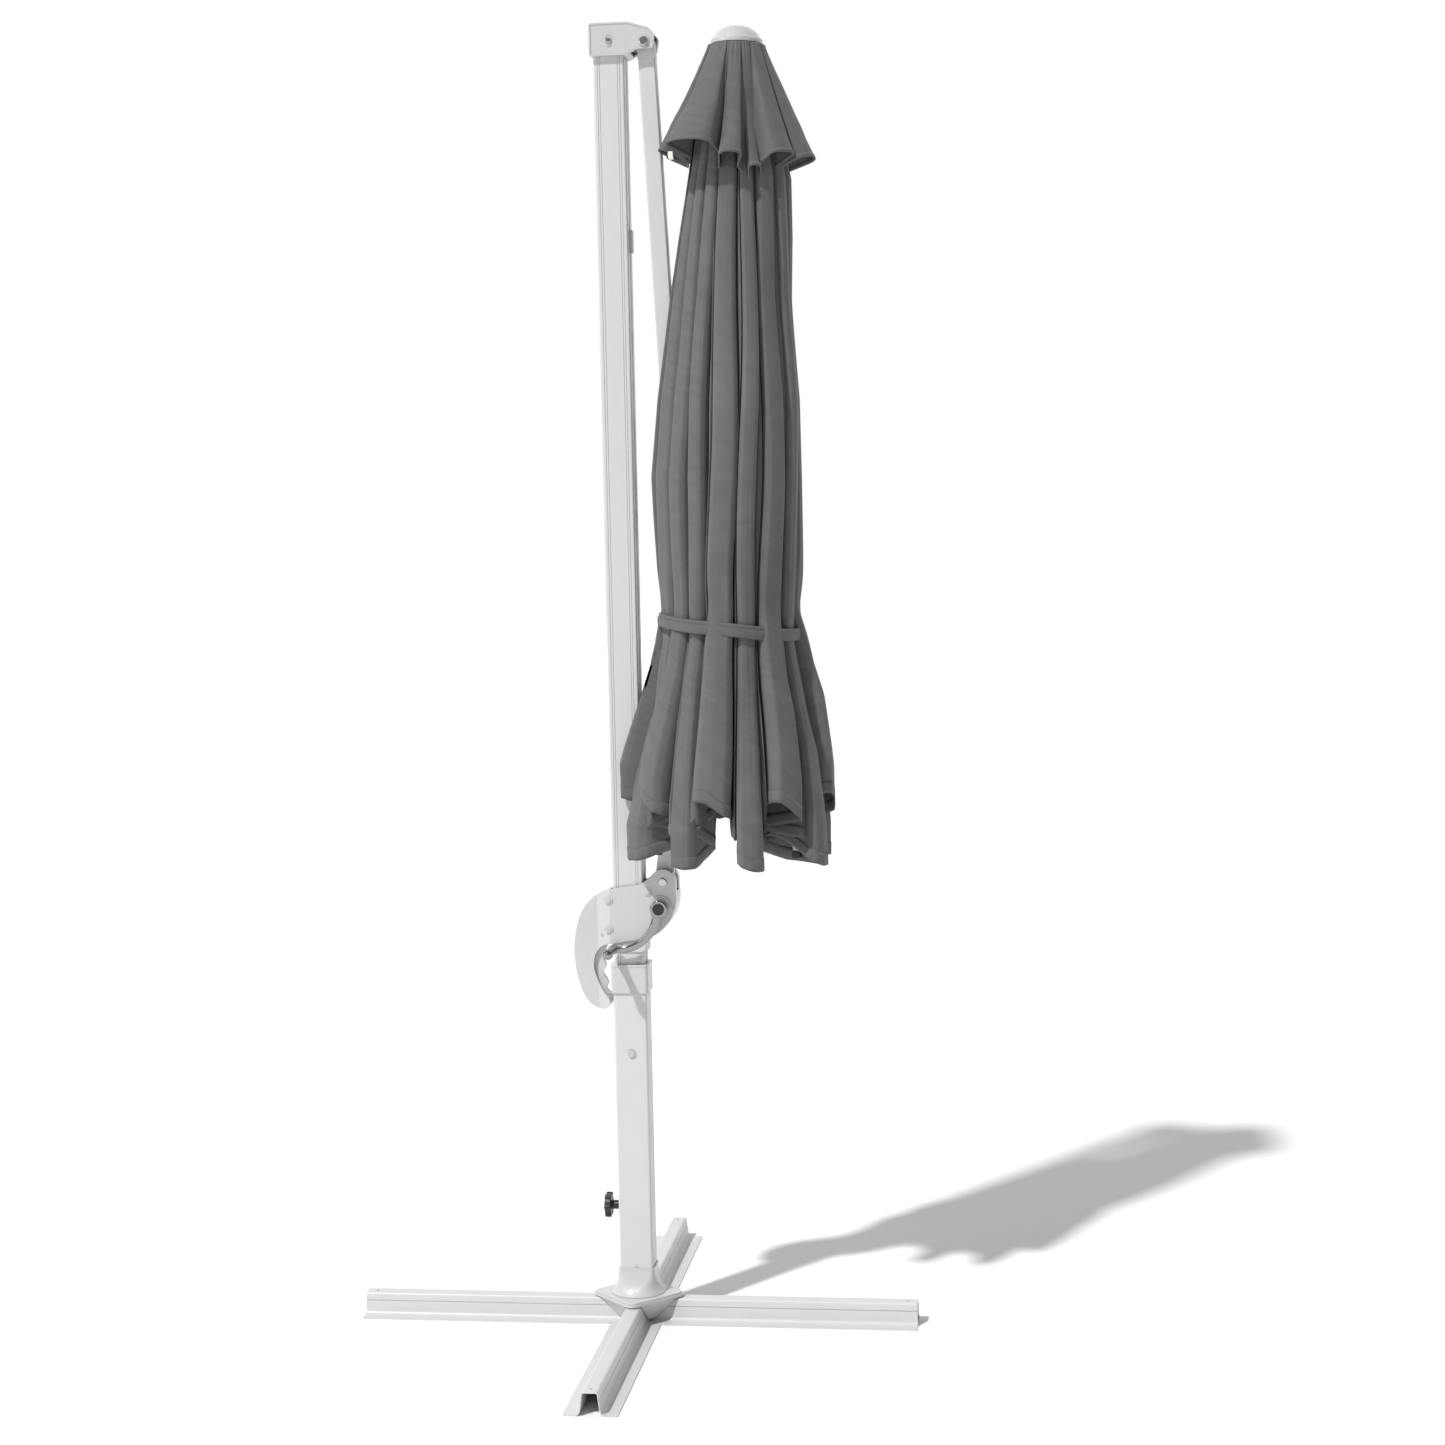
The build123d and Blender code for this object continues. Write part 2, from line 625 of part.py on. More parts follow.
with BuildPart() as arm_tube:
    with BuildSketch(cross_plane(ARM, ARM_TUBE_START)):
        RectangleRounded(ARM_X, ARM_Y, 2.5)
        RectangleRounded(ARM_X - 4, ARM_Y - 4, 1.2, mode=Mode.SUBTRACT)
    extrude(amount=ARM_TUBE_END - ARM_TUBE_START)
arm_tube.part.label = "arm_tube"
export_step(arm_tube.part, "parts/arm_tube.step")

with BuildPart() as arm_lower_eye:
    with BuildSketch(ARM):
        Circle(ARM_X / 2)
        with Locations((0, ARM_TUBE_START / 2)):
            Rectangle(ARM_X, ARM_TUBE_START - 0.1)
    extrude(amount=ARM_Y / 2, both=True)
    with BuildSketch(cross_plane(ARM, ARM_TUBE_START - 0.1)):
        RectangleRounded(ARM_X - 4.2, ARM_Y - 4.2, 1.1)
    extrude(amount=40)
    with BuildSketch(ARM):
        Circle(PIVOT_R + RUN)
    extrude(amount=30, both=True, mode=Mode.SUBTRACT)
arm_lower_eye.part.label = "arm_lower_eye"
export_step(arm_lower_eye.part, "parts/arm_lower_eye.step")

with BuildPart() as arm_upper_tongue:
    with BuildSketch(cross_plane(ARM, ARM_LENGTH - 50)):
        RectangleRounded(26, 14, 2)
    with BuildSketch(cross_plane(ARM, ARM_TUBE_END + 0.1)):
        RectangleRounded(ARM_X, ARM_Y, 2.5)
    loft()
    with BuildSketch(ARM):
        with Locations((0, ARM_LENGTH)):
            Circle(12)
        with Locations((0, ARM_LENGTH - 26)):
            Rectangle(24, 52)
    extrude(amount=7, both=True)
    with BuildSketch(cross_plane(ARM, ARM_TUBE_END + 0.1)):
        RectangleRounded(ARM_X - 4.2, ARM_Y - 4.2, 1.1)
    extrude(amount=-40)
    with BuildSketch(ARM):
        with Locations((0, ARM_LENGTH)):
            Circle(5 + RUN)
    extrude(amount=30, both=True, mode=Mode.SUBTRACT)
arm_upper_tongue.part.label = "arm_upper_tongue"
export_step(arm_upper_tongue.part, "parts/arm_upper_tongue.step")

# bracket on the arm's mast side: base strip, lug and the elbow pivot
with BuildPart() as arm_bracket:
    with BuildSketch(ARM):
        with Locations((-ARM_X / 2 - 1.6, ELBOW.Y)):
            Rectangle(3, 104)
    extrude(amount=ARM_Y / 2, both=True)
    with BuildSketch(ARM):
        with Locations((ELBOW.X, ELBOW.Y)):
            Circle(14)
        Polygon(
            (-ARM_X / 2 - 1, ELBOW.Y - 34), (ELBOW.X, ELBOW.Y - 14),
            (ELBOW.X, ELBOW.Y + 14), (-ARM_X / 2 - 1, ELBOW.Y + 34), align=None,
        )
    extrude(amount=6, both=True)
    with BuildSketch(ARM):
        with Locations((ELBOW.X, ELBOW.Y)):
            Circle(PIVOT_R)
        with Locations((0, ELBOW.Y)):
            Rectangle(ARM_X + 0.1, 160)
    extrude(amount=30, both=True, mode=Mode.SUBTRACT)
arm_bracket.part.label = "arm_bracket"
export_step(arm_bracket.part, "parts/arm_bracket.step")

with BuildPart() as elbow_bolt:
    for out in (1, -1):
        with BuildSketch(Plane.XZ.offset(out * (STRUT_Y / 2 + 0.3))):
            with Locations((ELBOW_X, ELBOW_Z)):
                Circle(9)
        extrude(amount=out * 3.2)
    with BuildSketch(Plane.XZ.offset(STRUT_Y / 2 + 0.3)):
        with Locations((ELBOW_X, ELBOW_Z)):
            Circle(PIVOT_R)
    extrude(amount=-STRUT_Y - 0.6)
elbow_bolt.part.label = "elbow_bolt"
export_step(elbow_bolt.part, "parts/elbow_bolt.step")

# ---------------------------------------------------------------- slider

EAR_R = 24.0
EAR_DIAGONAL = EAR_R * 0.5**0.5
TRIGGER_POCKET_Y = 9.0


# side view of the slider: the ear, the body round the mast and the sickle handle
with BuildSketch() as slider_outline:
    with BuildLine():
        Line((PIVOT_X + EAR_R, SLIDER_Z), (PIVOT_X + EAR_R, 824))
        ThreePointArc((PIVOT_X + EAR_R, 824), (82, 772), (42, 736))
        Line((42, 736), (-46, 721))
        Spline((-46, 721), (-62, 708), (-69, 686), (-63, 655), (-53, 635), (-41.5, 621))
        ThreePointArc((-41.5, 621), (-37.4, 611), (-43.5, 601))
        Spline(
            (-43.5, 601), (-55, 599), (-71, 605), (-86, 621), (-97, 649), (-104, 683),
            (-105, 722), (-97, 765), (-80, 798), (-56, 817), (-26, 828), (8, 833),
        )
        Spline(
            (8, 833), (27, 838), (40, 847), (PIVOT_X - EAR_DIAGONAL, SLIDER_Z + EAR_DIAGONAL),
            tangents=((1, 0.12), (1, 1.0)),
        )
        ThreePointArc(
            (PIVOT_X - EAR_DIAGONAL, SLIDER_Z + EAR_DIAGONAL),
            (PIVOT_X, SLIDER_Z + EAR_R),
            (PIVOT_X + EAR_R, SLIDER_Z),
        )
    make_face()


def slider_plan(inset):
    """Top view: full depth round the mast, thinner along the handle."""
    deep, thin = SLIDER_Y - inset, HANDLE_Y - inset
    Polygon(
        (110, deep), (-34, deep), (-60, thin), (-120, thin),
        (-120, -thin), (-60, -thin), (-34, -deep), (110, -deep), align=None,
    )


with BuildSketch() as slider_inset:
    offset(slider_outline.sketch, amount=-SHELL)
INSET_STEPS = 96
inset_points = [slider_inset.wire().position_at(k / INSET_STEPS) for k in range(INSET_STEPS)]

with BuildPart() as slider_hollow:
    with BuildSketch(Plane.XZ):
        Polygon(*[(point.X, point.Y) for point in inset_points], align=None)
    extrude(amount=SLIDER_Y, both=True)
    with BuildSketch(Plane.XY.offset(590)):
        slider_plan(SHELL)
    extrude(amount=290, mode=Mode.INTERSECT)

with BuildPart() as slider_cuts:
    # the mast's passage
    with BuildSketch(Plane.XY.offset(700)):
        Rectangle(MAST_X + 10, MAST_Y + 6)
    extrude(amount=170)
    # the arm's mouth in the ear
    with BuildSketch(Plane.XZ):
        with Locations((PIVOT_X, SLIDER_Z)):
            Circle(ARM_X / 2 + 2)
        Polygon(
            (PIVOT_X - 19, SLIDER_Z - 4), (PIVOT_X - 16, SLIDER_Z + 40), (PIVOT_X + 60, SLIDER_Z + 40),
            (PIVOT_X + 60, SLIDER_Z - 18.5), (PIVOT_X, SLIDER_Z - 18.5), align=None,
        )
    extrude(amount=ARM_Y / 2 + 1.2, both=True)
    # the trigger's slot along the inside of the handle
    with BuildSketch(Plane.XZ):
        Polygon(
            (-70, 745), (-38, 745), (-38, 712), (-50, 690), (-44, 640), (-34, 628),
            (-50, 622), (-74, 660), (-78, 690), align=None,
        )
    extrude(amount=TRIGGER_POCKET_Y, both=True)

for name, out in (("slider_shell_front", 1), ("slider_shell_back", -1)):
    with BuildPart() as slider_half:
        with BuildSketch(Plane.XZ):
            add(slider_outline.sketch)
        extrude(amount=out * SLIDER_Y)
        with BuildSketch(Plane.XY.offset(590)):
            slider_plan(0)
        extrude(amount=290, mode=Mode.INTERSECT)
    with BuildPart() as slider_shell:
        add(slider_half.part)
        add(slider_hollow.part, mode=Mode.SUBTRACT)
        # boss round the crank's axle and the pads over the three screws
        with BuildSketch(Plane.XZ.offset(out * (SLIDER_Y - SHELL))):
            with Locations((CRANK_X, CRANK_Z)):
                Circle(23)
        extrude(amount=out * (SHELL + 2.5))
        with BuildSketch(Plane.XZ.offset(out * (SLIDER_Y - SHELL))):
            with Locations((-36, 806), (-36, 752), (38, 822)):
                Circle(8)
        extrude(amount=out * (SHELL + 1.2))
        add(slider_cuts.part, mode=Mode.SUBTRACT)
        with BuildSketch(Plane.XZ):
            with Locations((CRANK_X, CRANK_Z)):
                Circle(PIVOT_R + RUN)
            with Locations((PIVOT_X, SLIDER_Z)):
                Circle(PIVOT_R)
            with Locations((-36, 806), (-36, 752), (38, 822)):
                Circle(2.2)
            with Locations((TRIGGER_X, TRIGGER_Z)):
                Circle(3)
        extrude(amount=out * 60, mode=Mode.SUBTRACT)
    slider_shell.part.label = name
    export_step(slider_shell.part, f"parts/{name}.step")

# cast carriage that runs on the mast and carries the arm's pivot
with BuildPart() as slider_carriage:
    with BuildSketch(Plane.XY.offset(708)):
        RectangleRounded(MAST_X + 9, MAST_Y + 5.4, 3)
    extrude(amount=112)
    with BuildSketch(Plane.XZ.offset(ARM_Y / 2 + 1.4)):
        with Locations((PIVOT_X, SLIDER_Z)):
            Circle(15)
        Polygon(
            (29, 816), (29, 770), (44, 770), (PIVOT_X + 15, SLIDER_Z - 4), (PIVOT_X, SLIDER_Z + 15),
            align=None,
        )
    extrude(amount=7)
    mirror(about=Plane.XZ)
    with BuildSketch(Plane.XY.offset(700)):
        RectangleRounded(MAST_X + 1.0, MAST_Y + 1.0, 3.6)
    extrude(amount=160, mode=Mode.SUBTRACT)
    # window for the brake shoe, bores for the pivot and round the crank's drum
    with BuildSketch(Plane.YZ):
        with Locations((0, 738)):
            Rectangle(20.4, 20.4)
    extrude(amount=-60, mode=Mode.SUBTRACT)
    with BuildSketch(Plane.XZ):
        with Locations((PIVOT_X, SLIDER_Z)):
            Circle(PIVOT_R)
        with Locations((CRANK_X, CRANK_Z)):
            Circle(20)
        with Locations((38, 822)):
            Circle(2.4)
    extrude(amount=60, both=True, mode=Mode.SUBTRACT)
slider_carriage.part.label = "slider_carriage"
export_step(slider_carriage.part, "parts/slider_carriage.step")

with BuildPart() as arm_pivot_bolt:
    for out in (1, -1):
        with BuildSketch(Plane.XZ.offset(out * SLIDER_Y)):
            with Locations((PIVOT_X, SLIDER_Z)):
                Circle(8)
        extrude(amount=out * 2.6)
    fillet(arm_pivot_bolt.edges().filter_by(GeomType.CIRCLE).group_by(Axis.Y)[0], 1.6)
    with BuildSketch(Plane.XZ.offset(SLIDER_Y)):
        with Locations((PIVOT_X, SLIDER_Z)):
            Circle(PIVOT_R)
    extrude(amount=-2 * SLIDER_Y)
arm_pivot_bolt.part.label = "arm_pivot_bolt"
export_step(arm_pivot_bolt.part, "parts/arm_pivot_bolt.step")

with BuildPart() as shell_screws:
    with BuildSketch(Plane.XZ.offset(SLIDER_Y + 1.2)):
        with Locations((-36, 806), (-36, 752), (38, 822)):
            Circle(4.2)
    extrude(amount=1.4)
    with BuildSketch(Plane.XZ.offset(SLIDER_Y + 1.2)):
        with Locations((-36, 806), (-36, 752), (38, 822)):
            Circle(2.2)
    extrude(amount=-2 * SLIDER_Y)
shell_screws.part.label = "shell_screws"
export_step(shell_screws.part, "parts/shell_screws.step")

with BuildPart() as trigger_pin:
    with BuildSketch(Plane.XZ):
        with Locations((TRIGGER_X, TRIGGER_Z)):
            Circle(3)
    extrude(amount=20, both=True)
trigger_pin.part.label = "trigger_pin"
export_step(trigger_pin.part, "parts/trigger_pin.step")

with BuildPart() as brake_shoe:
    with BuildSketch(Plane.XZ):
        with Locations((-34, 738)):
            Rectangle(9, 20)
    extrude(amount=10, both=True)
    fillet(brake_shoe.edges().filter_by(Axis.Y), 1.5)
brake_shoe.part.label = "brake_shoe"
export_step(brake_shoe.part, "parts/brake_shoe.step")

# ---------------------------------------------------------------- release trigger

with BuildPart() as release_trigger:
    with BuildSketch(Plane.XZ):
        with BuildLine():
            Polyline((-58, 744), (-45, 744), (-45, 716), (-50, 704))
            Spline(
                (-50, 704), (-55, 697), (-49.5, 684), (-48.5, 677), (-54, 666),
                (-47.5, 653), (-45, 645), (-47, 637), (-40, 627),
            )
            Polyline((-40, 627), (-47, 624))
            Spline((-47, 624), (-60, 644), (-70, 668), (-73, 690), (-66, 716))
            Line((-66, 716), (-58, 744))
        make_face()
    extrude(amount=TRIGGER_POCKET_Y - 0.6, both=True)
    with BuildSketch(Plane.XZ):
        with Locations((TRIGGER_X, TRIGGER_Z)):
            Circle(3 + RUN)
    extrude(amount=20, both=True, mode=Mode.SUBTRACT)
release_trigger.part.label = "release_trigger"
export_step(release_trigger.part, "parts/release_trigger.step")

# ---------------------------------------------------------------- crank

CRANK_Y = -36.0
ARM_MID = (CRANK_X - 22, CRANK_Z - 52)

with BuildPart() as crank_axle:
    with BuildSketch(Plane.XZ.offset(SLIDER_Y + 16)):
        with Locations((CRANK_X, CRANK_Z)):
            Circle(PIVOT_R)
    extrude(amount=-2 * SLIDER_Y - 20)
crank_axle.part.label = "crank_axle"
export_step(crank_axle.part, "parts/crank_axle.step")

with BuildPart() as crank_drum:
    with BuildSketch(Plane.XZ):
        with Locations((CRANK_X, CRANK_Z)):
            Circle(11)
            Circle(PIVOT_R, mode=Mode.SUBTRACT)
    extrude(amount=22, both=True)
    for y in (19, -22):
        with BuildSketch(Plane.XZ.offset(y)):
            with Locations((CRANK_X, CRANK_Z)):
                Circle(17)
                Circle(PIVOT_R, mode=Mode.SUBTRACT)
        extrude(amount=3)
crank_drum.part.label = "crank_drum"
export_step(crank_drum.part, "parts/crank_drum.step")

with BuildPart() as crank_arm:
    with BuildSketch(Plane.XZ.offset(-CRANK_Y)):
        with Locations((CRANK_X, CRANK_Z)):
            Circle(16.4)
    extrude(amount=15)
    fillet(crank_arm.edges().filter_by(GeomType.CIRCLE), 2.2)
    with BuildLine(Plane.XZ.offset(43.5)) as crank_path:
        ThreePointArc((CRANK_X - 4, CRANK_Z - 9), ARM_MID, (GRIP_X, GRIP_Z))
    with BuildSketch(Plane(origin=crank_path.line @ 0, x_dir=(0, 1, 0), z_dir=crank_path.line % 0)):
        RectangleRounded(11, 17, 4.5)
    with BuildSketch(Plane(origin=crank_path.line @ 1, x_dir=(0, 1, 0), z_dir=crank_path.line % 1)):
        RectangleRounded(9, 12, 4)
    sweep(multisection=True)
    with BuildSketch(Plane.XZ.offset(38.5)):
        with Locations((GRIP_X, GRIP_Z)):
            Circle(8.5)
    extrude(amount=11)
    with BuildSketch(Plane.XZ):
        with Locations((CRANK_X, CRANK_Z)):
            Circle(PIVOT_R)
    extrude(amount=SLIDER_Y + 16, mode=Mode.SUBTRACT)
    with BuildSketch(Plane.XZ.offset(SLIDER_Y + 16)):
        with Locations((CRANK_X, CRANK_Z)):
            Circle(11)
    extrude(amount=10, mode=Mode.SUBTRACT)
crank_arm.part.label = "crank_arm"
export_step(crank_arm.part, "parts/crank_arm.step")

with BuildPart() as crank_cap:
    with BuildSketch(Plane.XZ.offset(SLIDER_Y + 16)):
        with Locations((CRANK_X, CRANK_Z)):
            Circle(10.9)
    extrude(amount=6)
    fillet(crank_cap.edges().filter_by(GeomType.CIRCLE).group_by(Axis.Y)[0], 1.2)
crank_cap.part.label = "crank_cap"
export_step(crank_cap.part, "parts/crank_cap.step")

with BuildPart() as grip_pin:
    with BuildSketch(Plane.XZ.offset(49.5)):
        with Locations((GRIP_X, GRIP_Z)):
            Circle(3.5)
    extrude(amount=56)
grip_pin.part.label = "grip_pin"
export_step(grip_pin.part, "parts/grip_pin.step")

GRIP_START, GRIP_END = 50.5, 112.0
GRIP_AXIS = Axis((GRIP_X, 0, GRIP_Z), (0, -1, 0))

with BuildPart() as crank_grip:
    # half profile: local x is the radius, local y runs out along the grip
    with BuildSketch(Plane((GRIP_X, 0, GRIP_Z), x_dir=(1, 0, 0), z_dir=(0, 0, 1))):
        with BuildLine():
            Polyline((0, -GRIP_START), (8.5, -GRIP_START), (8.5, -GRIP_START - 4))
            Spline((8.5, -GRIP_START - 4), (6.4, -70), (8.4, -90), (9.6, -103), (6, -110.6), (0, -GRIP_END))
            Line((0, -GRIP_END), (0, -GRIP_START))
        make_face()
    revolve(axis=GRIP_AXIS)
    with BuildSketch(Plane.XZ.offset(GRIP_START)):
        with Locations((GRIP_X, GRIP_Z)):
            Circle(3.5 + RUN)
    extrude(amount=56, mode=Mode.SUBTRACT)
crank_grip.part.label = "crank_grip"
export_step(crank_grip.part, "parts/crank_grip.step")

# ---------------------------------------------------------------- canopy hub and crown

with BuildPart() as hub_bracket:
    with BuildSketch(CANOPY):
        Circle(13)
        with Locations((0, 10)):
            Rectangle(26, 21)
    extrude(amount=12, both=True)
    with BuildSketch(CANOPY):
        with Locations((-30, -4)):
            Rectangle(100, 40)
    extrude(amount=7.4, both=True, mode=Mode.SUBTRACT)
    with BuildSketch(CANOPY):
        Circle(5)
    extrude(amount=20, both=True, mode=Mode.SUBTRACT)
hub_bracket.part.label = "hub_bracket"
export_step(hub_bracket.part, "parts/hub_bracket.step")

with BuildPart() as hub_pin:
    with BuildSketch(CANOPY):
        Circle(5)
    extrude(amount=12.2, both=True)
    for out in (1, -1):
        with BuildSketch(CANOPY.offset(out * 12.2)):
            Circle(7.5)
        extrude(amount=out * 2.6)
hub_pin.part.label = "hub_pin"
export_step(hub_pin.part, "parts/hub_pin.step")

RIB_T = 14.0
RIB_W = 8.0
RIB_RUN = RIB_ROOT_T - RIB_TIP_T
RIB_SPREAD = RIB_TIP_R - RIB_ROOT_R
CROWN_BASE, CROWN_TOP = 22.0, 50.0

with BuildPart() as crown:
    with BuildSketch(cross_plane(CANOPY, CROWN_BASE)):
        Circle(RIB_ROOT_R + 7)
    extrude(amount=CROWN_TOP - CROWN_BASE)
    with BuildSketch(cross_plane(CANOPY, CROWN_TOP)):
        Circle(19)
    extrude(amount=22)
    with BuildSketch(cross_plane(CANOPY, 64)):
        Circle(44)
    extrude(amount=3)
    # slots for the ribs, and the seat of the hub bracket
    for i in range(RIBS):
        with BuildSketch(rib_plane(i)):
            with Locations((RIB_ROOT_R + 9, RIB_ROOT_T - 2)):
                Rectangle(34, 60)
        extrude(amount=RIB_W / 2 + 0.4, both=True, mode=Mode.SUBTRACT)
    with BuildSketch(cross_plane(CANOPY, CROWN_TOP)):
        Circle(RIB_ROOT_R - 12)
    extrude(amount=2)
    with BuildSketch(cross_plane(CANOPY, 64)):
        Circle(44)
        Circle(19, mode=Mode.SUBTRACT)
    extrude(amount=3)
crown.part.label = "crown"
export_step(crown.part, "parts/crown.step")

DOME_R, DOME_BASE, DOME_TOP = 47.5, 70.0, 103.0
DOME_WALL = 2.4

with BuildPart() as dome_cap:
    with BuildSketch(CANOPY):
        with BuildLine():
            Polyline((0, DOME_TOP - DOME_WALL), (0, DOME_TOP), (8, DOME_TOP))
            Spline(
                (8, DOME_TOP), (30, DOME_TOP - 7), (DOME_R - 3, DOME_BASE + 10),
                tangents=((1, 0), (0.6, -1)),
            )
            Polyline(
                (DOME_R - 3, DOME_BASE + 10),
                (DOME_R, DOME_BASE + 7),
                (DOME_R, DOME_BASE),
                (DOME_R - DOME_WALL, DOME_BASE),
            )
            Line((DOME_R - DOME_WALL, DOME_BASE), (DOME_R - 5.5, DOME_BASE + 9))
            Spline(
                (DOME_R - 5.5, DOME_BASE + 9), (29, DOME_TOP - 7 - DOME_WALL), (8, DOME_TOP - DOME_WALL),
                tangents=((-0.6, 1), (-1, 0)),
            )
            Line((8, DOME_TOP - DOME_WALL), (0, DOME_TOP - DOME_WALL))
        make_face()
        with Locations((12, 86.6)):
            Rectangle(4, 29)
    revolve(axis=CANOPY_AXIS)
dome_cap.part.label = "dome_cap"
export_step(dome_cap.part, "parts/dome_cap.step")

# ---------------------------------------------------------------- ribs, stretchers and runner

STRETCHER_T = -520.0
RUNNER_T = -1060.0
RUNNER_R = 24.0


def rib_radius(t):
    """Distance of a rib's centre line from the canopy axis at height t."""
    return RIB_ROOT_R + RIB_SPREAD * (RIB_ROOT_T - t) / RIB_RUN


with BuildPart() as ribs:
    for i in range(RIBS):
        with BuildSketch(rib_plane(i)):
            Polygon(
                (RIB_ROOT_R - RIB_T / 2, RIB_ROOT_T + 6), (RIB_ROOT_R + RIB_T / 2, RIB_ROOT_T + 6),
                (RIB_TIP_R + RIB_T / 2, RIB_TIP_T), (RIB_TIP_R - RIB_T / 2, RIB_TIP_T), align=None,
            )
        extrude(amount=RIB_W / 2, both=True)
        # lightened inside: the ribs are channels, open towards the axis
        with BuildSketch(rib_plane(i)):
            Polygon(
                (RIB_ROOT_R - RIB_T, RIB_ROOT_T - 16), (RIB_ROOT_R + RIB_T / 2 - 2, RIB_ROOT_T - 16),
                (RIB_TIP_R + RIB_T / 2 - 2, RIB_TIP_T + 2), (RIB_TIP_R - RIB_T, RIB_TIP_T + 2), align=None,
            )
        extrude(amount=RIB_W / 2 - 1.2, both=True, mode=Mode.SUBTRACT)
ribs.part.label = "ribs"
export_step(ribs.part, "parts/ribs.step")

with BuildPart() as rib_tips:
    for i in range(RIBS):
        with BuildSketch(rib_plane(i)):
            with Locations((RIB_TIP_R, RIB_TIP_T - 7)):
                RectangleRounded(RIB_T + 2, 13.8, 3)
        extrude(amount=RIB_W / 2 + 1, both=True)
rib_tips.part.label = "rib_tips"
export_step(rib_tips.part, "parts/rib_tips.step")

with BuildPart() as stretchers:
    for i in range(RIBS):
        top_r = rib_radius(STRETCHER_T) - 1
        with BuildSketch(rib_plane(i)):
            Polygon(
                (top_r - 3, STRETCHER_T), (top_r + 3, STRETCHER_T),
                (RUNNER_R + 3, RUNNER_T), (RUNNER_R - 3, RUNNER_T), align=None,
            )
            with Locations((top_r, STRETCHER_T), (RUNNER_R, RUNNER_T)):
                Circle(4)
        extrude(amount=2.4, both=True)
stretchers.part.label = "stretchers"
export_step(stretchers.part, "parts/stretchers.step")

with BuildPart() as runner:
    with BuildSketch(cross_plane(CANOPY, RUNNER_T - 22)):
        Circle(RUNNER_R + 6)
    extrude(amount=32)
    fillet(runner.edges().filter_by(GeomType.CIRCLE), 2.5)
    for i in range(RIBS):
        with BuildSketch(rib_plane(i)):
            with Locations((RUNNER_R + 4, RUNNER_T + 4)):
                Rectangle(17, 18)
        extrude(amount=2.8, both=True, mode=Mode.SUBTRACT)
    with BuildSketch(cross_plane(CANOPY, RUNNER_T - 30)):
        Circle(6)
    extrude(amount=60, mode=Mode.SUBTRACT)
runner.part.label = "runner"
export_step(runner.part, "parts/runner.step")

# ---------------------------------------------------------------- folded cloth

# radius of the bundle's outside at heights t along the canopy axis
BUNDLE = ((53.8, 44), (65, -30), (93, -170), (111, -385), (129, -575), (134, -720), (130, -870), (128, -990))
SKIRT = ((133, -1030), (160, -1180), (184, -1310), (190, -1380))

with BuildPart() as cloth_slot:
    # the gap in the cloth on the mast's side, where arm and strut lie and swing out
    with BuildSketch(CANOPY):
        with Locations((-160, -710)):
            Rectangle(310, 1490)
    extrude(amount=SLOT_Y, both=True)
    with BuildSketch(CANOPY):
        with Locations((-195, -1290)):
            Rectangle(200, 330)
    extrude(amount=WIDE_SLOT_Y, both=True)

with BuildPart() as canopy_cloth:
    with BuildSketch(CANOPY):
        with BuildLine():
            Spline(*BUNDLE, *SKIRT)
            Line(SKIRT[-1], (SKIRT[-1][0] - CLOTH, SKIRT[-1][1]))
            Spline(*[(r - CLOTH, t) for r, t in reversed(BUNDLE + SKIRT)])
            Line((BUNDLE[0][0] - CLOTH, BUNDLE[0][1]), BUNDLE[0])
        make_face()
    revolve(axis=CANOPY_AXIS)
    add(cloth_slot.part, mode=Mode.SUBTRACT)
canopy_cloth.part.label = "canopy_cloth"
export_step(canopy_cloth.part, "parts/canopy_cloth.step")

VENT = ((53, 68), (63, 40), (76, 0), (92, -60), (112, -115), (134, -158))

with BuildPart() as vent_cloth:
    with BuildSketch(CANOPY):
        with BuildLine():
            Spline(*VENT)
            Line(VENT[-1], (VENT[-1][0] - 4, VENT[-1][1]))
            Spline(*[(r - 4, t) for r, t in reversed(VENT)])
            Line((VENT[0][0] - 4, VENT[0][1]), VENT[0])
        make_face()
    revolve(axis=CANOPY_AXIS)
    add(cloth_slot.part, mode=Mode.SUBTRACT)
vent_cloth.part.label = "vent_cloth"
export_step(vent_cloth.part, "parts/vent_cloth.step")

STRAP_T = -988.0
STRAP_TILT = 6.0

with BuildPart() as tie_strap:
    with BuildSketch(cross_plane(CANOPY, STRAP_T).rotated((0, STRAP_TILT, 0))):
        Circle(136)
        Circle(133.5, mode=Mode.SUBTRACT)
    extrude(amount=11, both=True)
    add(cloth_slot.part, mode=Mode.SUBTRACT)
tie_strap.part.label = "tie_strap"
export_step(tie_strap.part, "parts/tie_strap.step")
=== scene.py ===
import json
import math

import bpy
import numpy as np
from mathutils import Matrix, Vector


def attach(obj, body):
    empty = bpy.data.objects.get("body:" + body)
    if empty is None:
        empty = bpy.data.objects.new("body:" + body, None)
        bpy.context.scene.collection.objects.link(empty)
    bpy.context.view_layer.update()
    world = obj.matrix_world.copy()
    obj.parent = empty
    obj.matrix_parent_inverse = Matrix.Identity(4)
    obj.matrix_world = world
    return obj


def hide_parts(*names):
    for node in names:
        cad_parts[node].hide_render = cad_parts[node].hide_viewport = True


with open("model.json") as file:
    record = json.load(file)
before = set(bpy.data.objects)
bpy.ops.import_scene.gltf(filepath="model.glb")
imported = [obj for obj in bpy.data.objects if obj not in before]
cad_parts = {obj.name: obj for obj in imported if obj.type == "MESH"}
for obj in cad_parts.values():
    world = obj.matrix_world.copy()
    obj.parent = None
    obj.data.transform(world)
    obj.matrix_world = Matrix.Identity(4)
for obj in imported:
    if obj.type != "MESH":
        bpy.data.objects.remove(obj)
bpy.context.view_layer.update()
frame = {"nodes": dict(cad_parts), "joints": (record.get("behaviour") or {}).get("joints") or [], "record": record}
nodes = frame["nodes"]

# ------------------------------------------------------------------ materials


